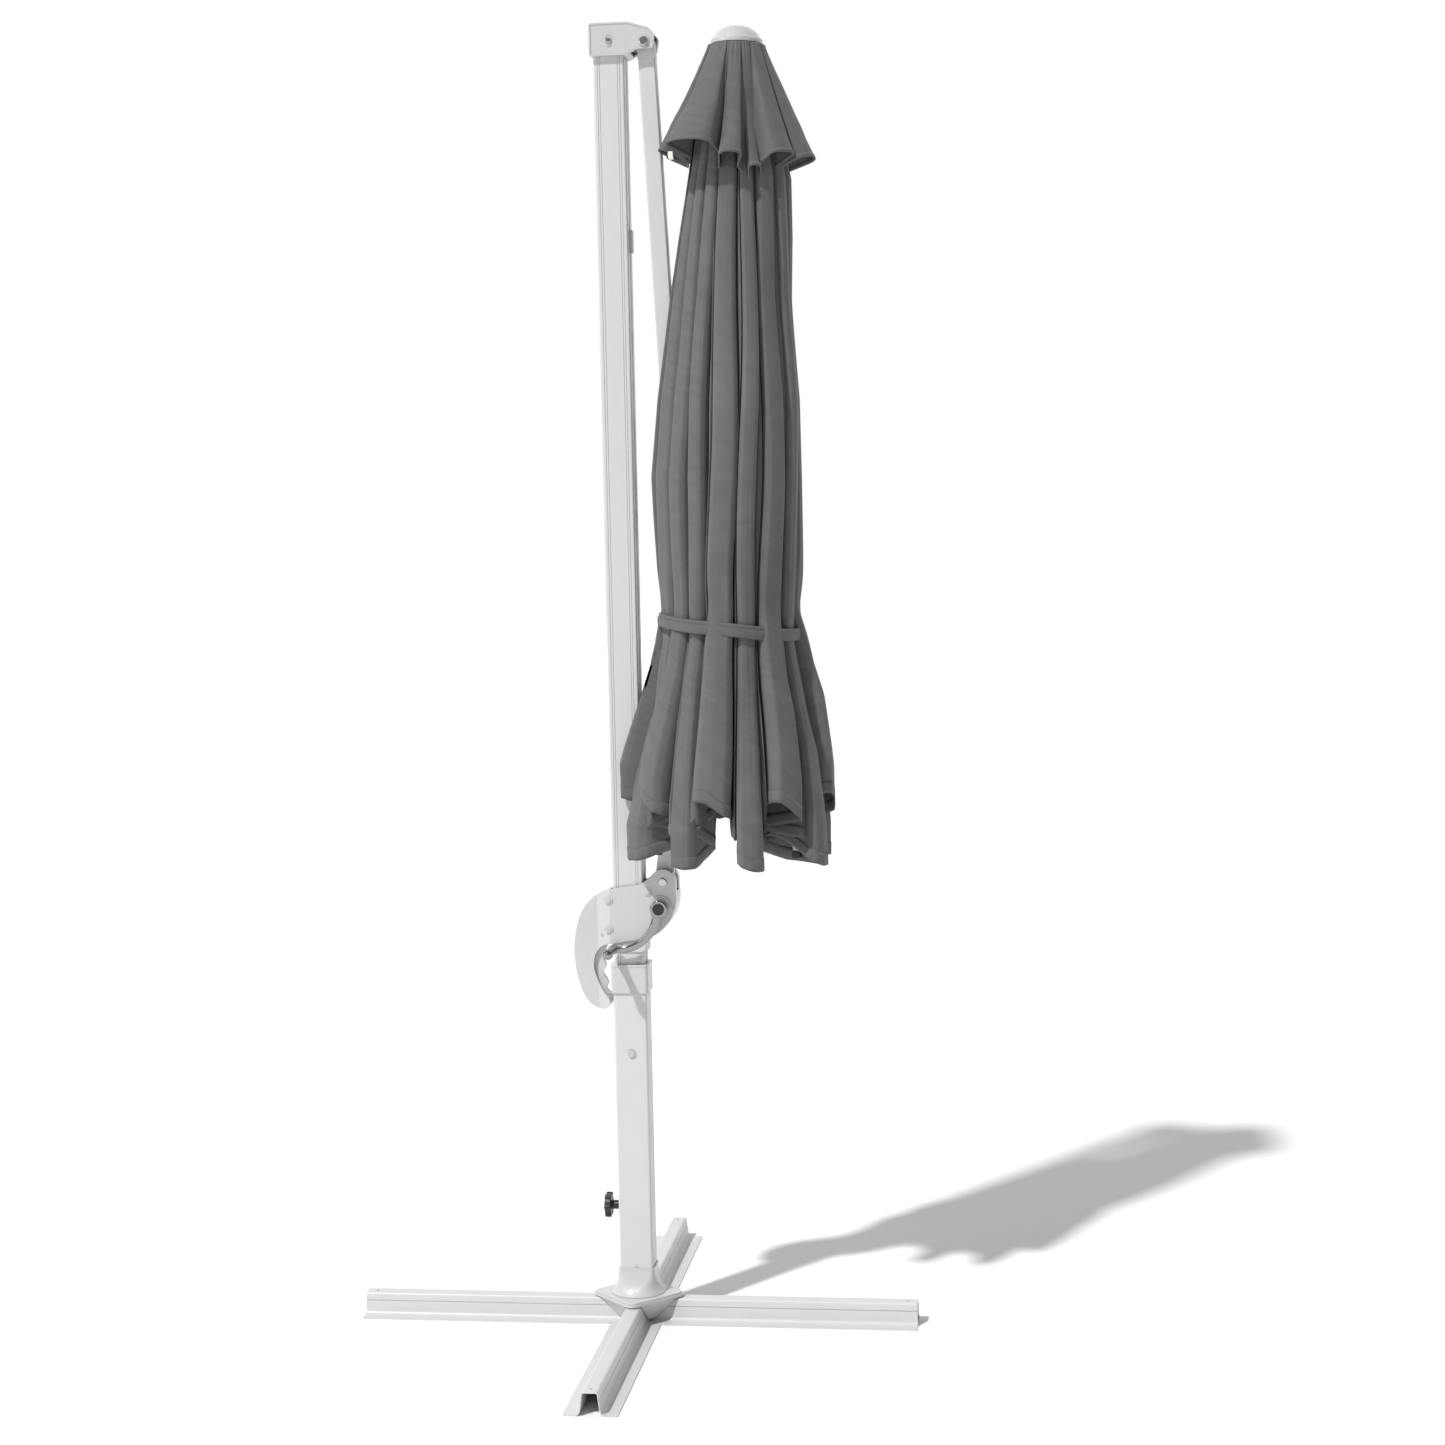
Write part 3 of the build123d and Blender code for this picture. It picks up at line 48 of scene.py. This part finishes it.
def new_material(name, colour, rough, metal=0.0, sheen=0.0):
    """A principled material: (material, node tree, principled node)."""
    mat = bpy.data.materials.new(name)
    mat.use_nodes = True
    tree = mat.node_tree
    bsdf = tree.nodes["Principled BSDF"]
    bsdf.inputs["Base Color"].default_value = (*colour, 1)
    bsdf.inputs["Roughness"].default_value = rough
    bsdf.inputs["Metallic"].default_value = metal
    bsdf.inputs["Sheen Weight"].default_value = sheen
    bsdf.inputs["Sheen Roughness"].default_value = 0.5
    return mat, tree, bsdf


def link(tree, a, out, b, inp):
    tree.links.new(a.outputs[out], b.inputs[inp])


def noise(tree, scale, detail=3.0, rough=0.55, stretch=(1, 1, 1), coords="Object"):
    co = tree.nodes.new("ShaderNodeTexCoord")
    mp = tree.nodes.new("ShaderNodeMapping")
    mp.inputs["Scale"].default_value = stretch
    nz = tree.nodes.new("ShaderNodeTexNoise")
    nz.inputs["Scale"].default_value = scale
    nz.inputs["Detail"].default_value = detail
    nz.inputs["Roughness"].default_value = rough
    link(tree, co, coords, mp, "Vector")
    link(tree, mp, "Vector", nz, "Vector")
    return nz


def ramp(tree, source, out, lo, hi, at=(0.3, 0.7)):
    """Colour ramp from lo to hi over the source's range at."""
    r = tree.nodes.new("ShaderNodeValToRGB")
    r.color_ramp.elements[0].position = at[0]
    r.color_ramp.elements[1].position = at[1]
    r.color_ramp.elements[0].color = (*lo, 1) if hasattr(lo, "__len__") else (lo, lo, lo, 1)
    r.color_ramp.elements[1].color = (*hi, 1) if hasattr(hi, "__len__") else (hi, hi, hi, 1)
    link(tree, source, out, r, "Fac")
    return r


def bump(tree, bsdf, source, out, strength, distance, before=None):
    b = tree.nodes.new("ShaderNodeBump")
    b.inputs["Strength"].default_value = strength
    b.inputs["Distance"].default_value = distance
    link(tree, source, out, b, "Height")
    if before is not None:
        link(tree, before, "Normal", b, "Normal")
    link(tree, b, "Normal", bsdf, "Normal")
    return b


def edge_soften(tree, bsdf, radius):
    """A bevelled normal, so that folded and moulded edges catch the light."""
    bev = tree.nodes.new("ShaderNodeBevel")
    bev.samples = 4
    bev.inputs["Radius"].default_value = radius
    link(tree, bev, "Normal", bsdf, "Normal")
    return bev


def coated(name, colour, rough, grain, edge, dirt=0.9):
    """Powder coat or moulding: fine orange peel, faint cloudy colour and gloss changes, soft edges."""
    mat, tree, bsdf = new_material(name, colour, rough)
    cloud = noise(tree, 7.0, 4.0)
    tint = ramp(tree, cloud, "Fac", [c * dirt for c in colour], colour, (0.25, 0.62))
    link(tree, tint, "Color", bsdf, "Base Color")
    gloss = noise(tree, 24.0, 2.0)
    rr = ramp(tree, gloss, "Fac", rough * 0.85, rough * 1.15, (0.35, 0.65))
    link(tree, rr, "Color", bsdf, "Roughness")
    soft = edge_soften(tree, bsdf, edge)
    peel = noise(tree, 900.0, 1.0)
    bump(tree, bsdf, peel, "Fac", grain, 0.0002, soft)
    return mat


white_frame = coated("white_powder_coat", (0.585, 0.585, 0.583), 0.36, 0.16, 0.0009, 0.97)
white_cast = coated("white_casting", (0.60, 0.60, 0.596), 0.42, 0.35, 0.0007, 0.95)
white_plastic = coated("white_moulding", (0.53, 0.53, 0.53), 0.24, 0.05, 0.0004, 0.98)
dark_plastic = coated("black_moulding", (0.016, 0.016, 0.018), 0.38, 0.25, 0.0010, 0.8)
nylon = coated("nylon", (0.55, 0.55, 0.53), 0.5, 0.1, 0.0006)


def metal(name, colour, rough, brushed):
    """Plated or plain metal with slightly smeared gloss."""
    mat, tree, bsdf = new_material(name, colour, rough, metal=1.0)
    smear = noise(tree, 60.0, 3.0, 0.6, (1, 1, brushed))
    rr = ramp(tree, smear, "Fac", rough * 0.6, rough * 1.6, (0.3, 0.7))
    link(tree, rr, "Color", bsdf, "Roughness")
    soft = edge_soften(tree, bsdf, 0.0006)
    bump(tree, bsdf, smear, "Fac", 0.05, 0.0001, soft)
    return mat


chrome = metal("chrome_plate", (0.55, 0.55, 0.56), 0.06, 1)
# a darker copy of the chrome plate for the crank: its low base colour is painted reflection, standing in for the
# dark surroundings that the crank mirrors
chrome_with_painted_dark_reflection = metal("chrome_plate_painted_dark_reflection", (0.33, 0.33, 0.34), 0.07, 1)
zinc = metal("zinc_steel", (0.55, 0.55, 0.55), 0.32, 8)


def cloth_material(name, colour, weave=1.0):
    """Woven polyester: plain weave from the cloth's own UV map, faint slubs and colour drift."""
    mat, tree, bsdf = new_material(name, colour, 0.82, sheen=0.12)
    bsdf.inputs["Specular IOR Level"].default_value = 0.25
    uv = tree.nodes.new("ShaderNodeUVMap")
    uv.uv_map = "cloth"
    warp = tree.nodes.new("ShaderNodeTexWave")
    weft = tree.nodes.new("ShaderNodeTexWave")
    for wave, axis in ((warp, "X"), (weft, "Y")):
        wave.wave_type = "BANDS"
        wave.bands_direction = axis
        wave.inputs["Scale"].default_value = 260.0 * weave
        wave.inputs["Distortion"].default_value = 0.35
        wave.inputs["Detail"].default_value = 1.0
        link(tree, uv, "UV", wave, "Vector")
    weave_mix = tree.nodes.new("ShaderNodeMath")
    weave_mix.operation = "MULTIPLY"
    link(tree, warp, "Fac", weave_mix, 0)
    link(tree, weft, "Fac", weave_mix, 1)
    slub = tree.nodes.new("ShaderNodeTexNoise")
    slub.inputs["Scale"].default_value = 26.0
    slub.inputs["Detail"].default_value = 5.0
    drift = noise(tree, 3.2, 3.0)
    link(tree, uv, "UV", slub, "Vector")
    mix = tree.nodes.new("ShaderNodeMath")
    mix.operation = "ADD"
    link(tree, slub, "Fac", mix, 0)
    link(tree, drift, "Fac", mix, 1)
    half = tree.nodes.new("ShaderNodeMath")
    half.operation = "MULTIPLY"
    half.inputs[1].default_value = 0.5
    link(tree, mix, "Value", half, 0)
    tint = ramp(tree, half, "Value", [c * 0.86 for c in colour], [c * 1.12 for c in colour], (0.35, 0.65))
    dark = tree.nodes.new("ShaderNodeMixRGB")
    dark.blend_type = "MULTIPLY"
    dark.inputs["Fac"].default_value = 0.22
    link(tree, tint, "Color", dark, "Color1")
    link(tree, weave_mix, "Value", dark, "Color2")
    link(tree, dark, "Color", bsdf, "Base Color")
    crumple = noise(tree, 46.0, 4.0, 0.5, (1, 1, 0.35))
    first = tree.nodes.new("ShaderNodeBump")
    first.inputs["Strength"].default_value = 0.35
    first.inputs["Distance"].default_value = 0.0022
    link(tree, crumple, "Fac", first, "Height")
    bump(tree, bsdf, weave_mix, "Value", 0.35, 0.0003, first)
    return mat


cloth = cloth_material("dark_grey_cloth", (0.150, 0.150, 0.152))
band_cloth = cloth_material("dark_grey_band", (0.145, 0.145, 0.147), 1.4)

MATERIAL_OF_SLOT = {
    "white_frame": white_frame,
    "white_cast": white_cast,
    "white_plastic": white_plastic,
    "dark_plastic": dark_plastic,
    "nylon": nylon,
    "chromed": chrome,
    "zinc_steel": zinc,
    "rib_metal": white_frame,
    "dark_cloth": cloth,
}
for part in frame["record"]["subparts"]:
    shown = nodes[part["node"]]
    shown.data.materials.clear()
    # the crank's arm and grip take the darker chrome copy, whose colour is painted dark reflection
    on_crank = part["node"] in ("crank_arm", "crank_grip")
    shown.data.materials.append(chrome_with_painted_dark_reflection if on_crank else MATERIAL_OF_SLOT[part["material_slot"]])

# ------------------------------------------------------------------ canopy frame

joint = {j["name"]: j for j in frame["joints"]}["canopy_pivot"]
HUB = np.array(joint["pos_m"])
LEAN = math.radians(1.55)
OUT = np.array([math.cos(LEAN), 0.0, -math.sin(LEAN)])
SIDE = np.array([0.0, 1.0, 0.0])
UP = np.array([math.sin(LEAN), 0.0, math.cos(LEAN)])


def place(x, y, t):
    """Canopy coordinates (mm: away from the mast, sideways, up its axis) to the shared frame (m)."""
    x, y, t = (np.asarray(v, float)[..., None] / 1000 for v in (x, y, t))
    return HUB + x * OUT + y * SIDE + t * UP


def smooth(x, lo, hi):
    """0 below lo, 1 above hi and a soft step between."""
    s = np.clip((np.asarray(x, float) - lo) / (hi - lo), 0, 1)
    return s * s * (3 - 2 * s)


def grid_mesh(name, points, uvs, material):
    """A sheet through points[row, column], its UV in metres of cloth."""
    rows, cols = points.shape[:2]
    verts = points.reshape(-1, 3)
    faces = [
        (r * cols + c, r * cols + c + 1, (r + 1) * cols + c + 1, (r + 1) * cols + c)
        for r in range(rows - 1)
        for c in range(cols - 1)
    ]
    mesh = bpy.data.meshes.new(name)
    mesh.from_pydata(verts.tolist(), [], faces)
    layer = mesh.uv_layers.new(name="cloth")
    flat = uvs.reshape(-1, 2)
    index = np.zeros(len(mesh.loops), np.int32)
    mesh.loops.foreach_get("vertex_index", index)
    layer.data.foreach_set("uv", flat[index].astype(np.float32).ravel())
    mesh.polygons.foreach_set("use_smooth", [True] * len(mesh.polygons))
    obj = bpy.data.objects.new(name, mesh)
    bpy.context.scene.collection.objects.link(obj)
    mesh.materials.append(material)
    return obj


# outer radius of the bundle towards the mast side, away from it, and to the front and back
T_AT = np.array([
    -1420, -1345, -1310, -1200, -1130, -1010, -975, -863, -715, -569, -385, -278, -170, -60, 44,
])
R_MAST = np.array([203, 208, 199, 168, 150, 133, 134, 140, 149, 140, 120, 104, 86, 70, 54])
R_AWAY = np.array([190, 188, 184, 169, 150, 127, 125, 125, 123, 120, 104, 104, 99, 70, 54])
R_BROAD = np.array([196, 196, 190, 168, 150, 131, 130, 133, 136, 130, 112, 104, 92, 70, 54])
RIB_ROOT_R, RIB_ROOT_T, RIB_TIP_R, RIB_TIP_T = 40.0, 38.0, 140.0, -1395.0


def outer(t, phi):
    """Radius of the bundle at height t in direction phi; phi is 0 away from the mast."""
    away, mast, broad = (np.interp(t, T_AT, r) for r in (R_AWAY, R_MAST, R_BROAD))
    c = np.cos(phi)
    return broad + np.where(c > 0, (away - broad) * c * c, (mast - broad) * c * c)


def rib_at(t):
    """Distance of a rib from the canopy's axis at height t."""
    return RIB_ROOT_R + (RIB_TIP_R - RIB_ROOT_R) * (RIB_ROOT_T - t) / (RIB_ROOT_T - RIB_TIP_T)


# half width of the gap for arm and strut, columns in each fold, radius that the creases reach in to
SLOT_HALF = 20.0
PER_FOLD = 40
INNER = 42.0
# eight ribs: the first one's direction and the angle of a panel, in degrees
FIRST_RIB, PANEL = -157.5, 45.0
CLOTH_THICK, HEM_THICK = 0.0009, 0.0026


def build_valleys():
    """(angle, depth share) of every deep crease, from one side of the mast slot to the other."""
    g = np.random.default_rng(5)
    found = [(-166.5, 0.9)]
    for panel in range(7):
        start = FIRST_RIB + PANEL * panel
        for a in (11.5, 33.5):
            found.append((start + a + g.uniform(-5.5, 5.5), g.uniform(0.82, 1.0)))
    return found + [(166.5, 0.9)]


VALLEYS = build_valleys()
FOLDS = len(VALLEYS) + 1
fold_rng = np.random.default_rng(17)
FOLD_TILT = fold_rng.uniform(-1, 1, FOLDS)
FOLD_SWELL = fold_rng.uniform(-1, 1, FOLDS)
FOLD_PHASE = fold_rng.uniform(0, 2 * math.pi, FOLDS)
FOLD_RISE = fold_rng.uniform(0.55, 1.35, FOLDS)


def section(slot_edge):
    """Angle, crease depth share, fold number and place across the fold, for every column."""
    angles = [-180.0 + slot_edge] + [a for a, _ in VALLEYS] + [180.0 - slot_edge]
    depths = [0.0] + [d for _, d in VALLEYS] + [0.0]
    phi, depth, number, across = [], [], [], []
    for k in range(FOLDS):
        s = np.linspace(-1, 1, PER_FOLD, endpoint=False)
        m = np.abs(s)
        # a broad crest, walls that undercut it, and a second, hidden fold in the crease's floor
        a = np.interp(m, [0, 0.46, 0.70, 0.86, 1], [0, 0.84, 0.70, 0.90, 1.0])
        d = np.interp(m, [0, 0.30, 0.46, 0.70, 0.86, 1], [0, 0.015, 0.13, 1.0, 0.32, 0.16])
        mid, half = (angles[k] + angles[k + 1]) / 2, (angles[k + 1] - angles[k]) / 2
        phi.append(mid + half * np.sign(s) * a)
        depth.append(d * np.where(s < 0, depths[k], depths[k + 1]))
        number.append(np.full(PER_FOLD, k))
        across.append(s)
    phi.append(np.array([angles[-1]]))
    depth.append(np.array([0.0]))
    number.append(np.array([FOLDS - 1]))
    across.append(np.array([1.0]))
    phi, depth, number, across = (np.concatenate(column) for column in (phi, depth, number, across))
    return np.radians(phi), depth, number, across


def panel_place(phi, depth):
    """0 over a rib and 1 in the middle of a panel, measured along the cloth, for every column."""
    x, y = (1 - 0.62 * depth) * np.cos(phi), (1 - 0.62 * depth) * np.sin(phi)
    arc = np.concatenate([[0.0], np.cumsum(np.hypot(np.diff(x), np.diff(y)))])
    ribs_at = []
    for rib in np.radians(np.arange(FIRST_RIB, 180, PANEL)):
        ribs_at.append(arc[np.argmin(np.abs(phi - rib) + 4 * depth)])
    middle = (np.array(ribs_at[1:]) + np.array(ribs_at[:-1])) / 2
    stops = np.concatenate([[arc[0]], np.sort(np.concatenate([ribs_at, middle])), [arc[-1]]])
    return np.interp(arc, stops, np.arange(len(stops)) % 2 == 0)


def lay_uv(grid):
    """UV in metres along the cloth, across and down."""
    across = np.zeros(grid.shape[:2])
    across[:, 1:] = np.cumsum(np.linalg.norm(np.diff(grid, axis=1), axis=2), axis=1)
    down = np.zeros(grid.shape[:2])
    down[1:] = np.cumsum(np.linalg.norm(np.diff(grid, axis=0), axis=2), axis=0)
    return np.stack([across - across[:, -1:] / 2, down], axis=2)


def keep_slot(x, y, t, gap):
    """Keeps the cloth out of the gap where arm, strut and mast lie."""
    inside = (x < -20) & (np.abs(y) < gap) & (t < 30)
    return np.where(inside, np.where(y < 0, -gap, gap), y)


def sheet_from(name, grid, thick, material):
    """A thick sheet of cloth through the grid, which moves with the canopy."""
    obj = grid_mesh(name, grid, lay_uv(grid), material)
    solid = obj.modifiers.new("thick", "SOLIDIFY")
    solid.thickness = thick
    solid.offset = 0
    dg = bpy.context.evaluated_depsgraph_get()
    made = bpy.data.meshes.new_from_object(obj.evaluated_get(dg))
    obj.modifiers.clear()
    obj.data = made
    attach(obj, "canopy")
    return obj


ROWS = 190
TOP_T, HEM_T = 44.0, -1409.0
rows = []
for i in range(ROWS):
    v = i / (ROWS - 1)
    t = TOP_T + (HEM_T - TOP_T) * v
    slot_edge = math.degrees(math.asin(min(0.9, SLOT_HALF / float(outer(t, math.pi)))))
    phi, depth, fold, across = section(slot_edge)
    phi_flat = phi.copy()
    tilt, swell, phase, lift = FOLD_TILT[fold], FOLD_SWELL[fold], FOLD_PHASE[fold], FOLD_RISE[fold]
    grown = float(smooth(-t, -30, 170))
    flare = float(smooth(-t, 1030, 1330))
    tied = math.exp(-(((t + 1000) / 60.0) ** 2))
    free = smooth(math.pi - np.abs(phi), 0.16, 0.5)
    crest = 1 - depth
    # the folds wander a little as they go down, each in its own way
    wander = 0.030 * np.sin(t / 230.0 + phase) + 0.022 * np.sin(t / 96.0 + phase * 2.1)
    phi = phi + wander * grown * free * (1 - 0.6 * tied)
    R = outer(t, phi)
    inner = max(INNER + 14 * float(smooth(-t, 1180, 1390)), 49.5 if t > 6 else 30.0)
    reach = np.clip(R - inner, 0, None)
    deep = depth * grown * reach * (0.95 + 0.05 * np.sin(t / 90.0 + phase))
    # crests lie like shingles, higher on one side, and swell unevenly
    bulge = across * tilt * (8.0 + 6.0 * flare) + swell * (3.4 + 5.0 * flare)
    bulge = bulge + 2.4 * np.sin(t / 150.0 + phase * 1.7)
    bulge = bulge - 5.0 * np.clip(across, 0, 1) ** 2
    r = R - deep + bulge * crest * grown * (1 - 0.8 * tied) - 2.2 * tied * crest
    lean = (0.075 + 0.06 * tilt) * np.clip(deep / np.maximum(reach, 1), 0, 1)
    phi = phi + lean * free * grown
    # small cross wrinkles where the band pulls the cloth in
    pull = math.exp(-(((t + 940) / 60.0) ** 2)) + math.exp(-(((t + 1050) / 45.0) ** 2))
    r = r + 1.1 * pull * np.sin(across * 9 + phase) * crest
    # a panel's seam lies over each rib
    seam = ((np.degrees(phi_flat) + 180.0) % PANEL) - PANEL / 2
    r = r + 0.9 * np.exp(-((seam / 0.9) ** 2)) * crest * grown
    rib = rib_at(t) + 8.8
    near = np.abs(((np.degrees(phi) + 180.0) % PANEL) - PANEL / 2) < math.degrees(7.0 / rib)
    r = np.where(near & (t < 30), np.maximum(r, rib), r)
    # the hem hangs lowest at the ribs and rises towards the middle of each panel
    middle = panel_place(phi_flat, depth)
    rise = 120.0 * np.clip(middle - 0.07, 0, 1) * (0.75 + 0.25 * lift)
    rise = rise - 9.0 * np.clip(1 - middle / 0.14, 0, 1)
    # each fold's own hem runs down towards one side
    aslant = np.sin(math.pi * across) * (0.7 + 0.5 * swell)
    rise = rise - 20.0 * aslant * np.clip(middle / 0.2, 0, 1) * free
    tt = t + rise * smooth(-t, 640, 1409)
    x, y = r * np.cos(phi), r * np.sin(phi)
    y = keep_slot(x, y, t, SLOT_HALF + 14.5 * float(smooth(-t, 1060, 1120)))
    rows.append(place(x, y, tt))
points = np.array(rows)
canopy = sheet_from("canopy_fabric", points, CLOTH_THICK, cloth)
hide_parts("canopy_cloth")
hem = sheet_from("canopy_hem", points[-4:], HEM_THICK, cloth)

# ------------------------------------------------------------------ vent tier

# (crest angle, angle of the crease after it, crest radius at the hem, hem lift) of each flute
FLUTES = (
    (-161, -152, 150, 10), (-124, -98, 157, 18), (-85, -74, 132, -4), (-65, -57, 110, -24),
    (-42, -27, 144, 0), (-10, 14, 154, -2), (34, 52, 142, 6), (72, 92, 136, -4),
    (112, 134, 148, 4), (152, 171, 150, 10),
)
creases = np.array([-171.0] + [f[1] for f in FLUTES])
# heights, and the radii of crests and creases there
VENT_TOP, VENT_HEM, VENT_HEM_R = 68.0, -152.0, 137.0
vent_t = np.array([-160.0, -115.0, -60.0, 0.0, 40.0, 60.0, 70.0])
vent_r = np.array([137.0, 116.0, 95.0, 76.0, 62.0, 54.0, 51.0])
floor_r = np.array([92.0, 85.0, 75.0, 64.0, 55.5, 51.5, 49.5])
PER_FLUTE = 44
VROWS = 64
rows = []
for i in range(VROWS):
    v = i / (VROWS - 1)
    t = VENT_TOP + (VENT_HEM - VENT_TOP) * v
    R0, low = float(np.interp(t, vent_t, vent_r)), float(np.interp(t, vent_t, floor_r))
    xs, ys, ts = [], [], []
    for k, (angle, _, tip, hem_lift) in enumerate(FLUTES):
        s = np.linspace(-1, 1, PER_FLUTE, endpoint=(k == len(FLUTES) - 1))
        m = np.abs(s)
        edge = np.where(s < 0, creases[k], creases[k + 1])
        a = np.interp(m, [0, 0.55, 0.85, 1], [0, 0.80, 0.86, 1.0])
        fall = np.interp(m, [0, 0.25, 0.45, 0.55, 0.85, 1], [0, 0.03, 0.11, 0.24, 0.98, 1.0])
        grow = float(smooth(v, 0.0, 0.75))
        phi = np.radians(angle + (edge - angle) * a)
        crest_r = R0 + (tip - VENT_HEM_R) * grow
        r = crest_r - (crest_r - low) * fall * (0.7 + 0.3 * grow)
        twist = 0.10 * math.sin(k * 2.3 + 0.5) * grow
        phi = phi + twist * fall * (1 if abs(angle) < 140 else 0)
        gathers = 0.8 * math.exp(-((v / 0.16) ** 2)) * np.sin(s * 14)
        r = r + gathers + 2.0 * np.sin(v * 5 + k * 1.4) * (1 - fall) * grow
        curl = 15.0 * math.exp(-(((1 - v) / 0.18) ** 2)) * math.sin(k * 1.9 + 1.2)
        phi = phi + curl / 140.0 * np.exp(-((m / 0.5) ** 2)) * 0.6
        x, y = r * np.cos(phi), r * np.sin(phi)
        y = keep_slot(x, y, t, SLOT_HALF)
        xs.append(x)
        ys.append(y)
        sag = (hem_lift + 24.0 * (1 - fall) - 6.0) * float(smooth(v, 0.35, 1.0))
        ts.append(t + sag)
    rows.append(place(np.concatenate(xs), np.concatenate(ys), np.concatenate(ts)))
vpoints = np.array(rows)
vent = sheet_from("vent_fabric", vpoints, CLOTH_THICK, cloth)
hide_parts("vent_cloth")
vent_hem = sheet_from("vent_hem", vpoints[-3:], HEM_THICK, cloth)

# ------------------------------------------------------------------ tie strap

# height on the canopy's axis, slope, half width, and the bundle's radius under the strap
STRAP_T, TILT, STRAP_HALF, STRAP_R = -986.0, math.radians(5.5), 11.0, 134.0


def band(name, start, stop, lift, drop, half, columns):
    """A flat band round the bundle from angle start to stop, raised by lift and moved by drop (mm)."""
    phis = np.linspace(start, stop, columns)
    rows = []
    for w in np.linspace(-1, 1, 9):
        base = outer(STRAP_T, phis) + lift + 0.7 * np.sin(phis * 9 + 0.4) + 0.9 * (1 - w * w)
        slope = math.tan(TILT) * base * np.cos(phis)
        t = STRAP_T - slope + w * half + drop + 1.2 * np.sin(phis * 4.0 + 1)
        rows.append(place(base * np.cos(phis), base * np.sin(phis), t))
    return sheet_from(name, np.array(rows), 0.0016, band_cloth)


slot_turn = math.asin(21.5 / STRAP_R)
strap = band("tie_band", -math.pi + slot_turn, math.pi - slot_turn, 1.8, 0.0, STRAP_HALF, 240)
strap_end = band("tie_band_end", -math.pi + slot_turn + 0.02, -0.9, 4.4, -4.5, 8.5, 90)
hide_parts("tie_strap")

# small blank label sewn under the vent's hem
label_rows = []
for w in np.linspace(0, 1, 6):
    u = np.linspace(-6, 6, 7)
    label_rows.append(place(-112 + u * 0.8 + 2 * w, -62 - u * 0.35 + 2.5 * w * w, -128 - 15 * w + 0 * u))
label_mat = coated("label_satin", (0.72, 0.72, 0.70), 0.5, 0.1, 0.0003)
label = sheet_from("care_label", np.array(label_rows), 0.0006, label_mat)

# ------------------------------------------------------------------ floor, light, camera

bpy.ops.mesh.primitive_plane_add(size=60, location=(0, 0, 0))
floor = bpy.context.object
floor.name = "studio_floor"
floor.data.materials.append(new_material("pale_floor", (0.88, 0.88, 0.88), 0.8)[0])

bpy.ops.mesh.primitive_plane_add(size=1, location=(0, 26, 0), rotation=(math.pi / 2, 0, 0))
backdrop = bpy.context.object
backdrop.name = "studio_backdrop"
backdrop.scale = (140, 80, 1)
back_mat = bpy.data.materials.new("backdrop_white")
back_mat.use_nodes = True
back_tree = back_mat.node_tree
back_tree.nodes.clear()
glow = back_tree.nodes.new("ShaderNodeEmission")
glow.inputs["Strength"].default_value = 1.0
back_out = back_tree.nodes.new("ShaderNodeOutputMaterial")
back_tree.links.new(glow.outputs["Emission"], back_out.inputs["Surface"])
backdrop.data.materials.append(back_mat)

world = bpy.data.worlds.new("studio")
bpy.context.scene.world = world
world.use_nodes = True
sky = world.node_tree.nodes["Background"]
sky.inputs["Color"].default_value = (1.0, 1.0, 1.0, 1)
sky.inputs["Strength"].default_value = 0.30


def lamp(name, kind, location, target, energy, size):
    """A lamp that points at target; size is a sun's angle, or an area lamp's width and height."""
    data = bpy.data.lights.new(name, kind)
    data.energy = energy
    if kind == "AREA":
        data.shape = "RECTANGLE"
        data.size, data.size_y = size
    else:
        data.angle = size
    obj = bpy.data.objects.new(name, data)
    obj.location = location
    obj.rotation_euler = (Vector(target) - Vector(location)).to_track_quat("-Z", "Y").to_euler()
    bpy.context.scene.collection.objects.link(obj)
    return obj


lamp("sun", "SUN", (-3.6, -5.2, 8.2), (0, 0, 0), 3.0, math.radians(2.5))
lamp("key", "AREA", (-3.6, -2.6, 2.4), (0.1, 0, 1.3), 42, (1.0, 2.6))

# camera at the photo's angle: turns in radians, focal length and picture width in the same units
YAW, PITCH, ROLL = 0.12945, 0.08214, -0.02021
FOCAL, PICTURE = 2488.46, 1445.0
SENSOR = 36.0
camera_data = bpy.data.cameras.new("camera")
camera_data.sensor_width = SENSOR
camera_data.lens = FOCAL / PICTURE * SENSOR
camera = bpy.data.objects.new("camera", camera_data)
bpy.context.scene.collection.objects.link(camera)
right = Vector((math.cos(YAW), math.sin(YAW), 0))
ahead = Vector((-math.sin(YAW) * math.cos(PITCH), math.cos(YAW) * math.cos(PITCH), -math.sin(PITCH)))
above = right.cross(ahead)
across_view = right * math.cos(ROLL) + above * math.sin(ROLL)
up_view = -right * math.sin(ROLL) + above * math.cos(ROLL)
camera.matrix_world = Matrix((
    (across_view.x, up_view.x, -ahead.x, 0.7772),
    (across_view.y, up_view.y, -ahead.y, -4.57291),
    (across_view.z, up_view.z, -ahead.z, 1.51487),
    (0, 0, 0, 1),
))
bpy.context.scene.camera = camera
bpy.context.scene.view_settings.view_transform = "Standard"
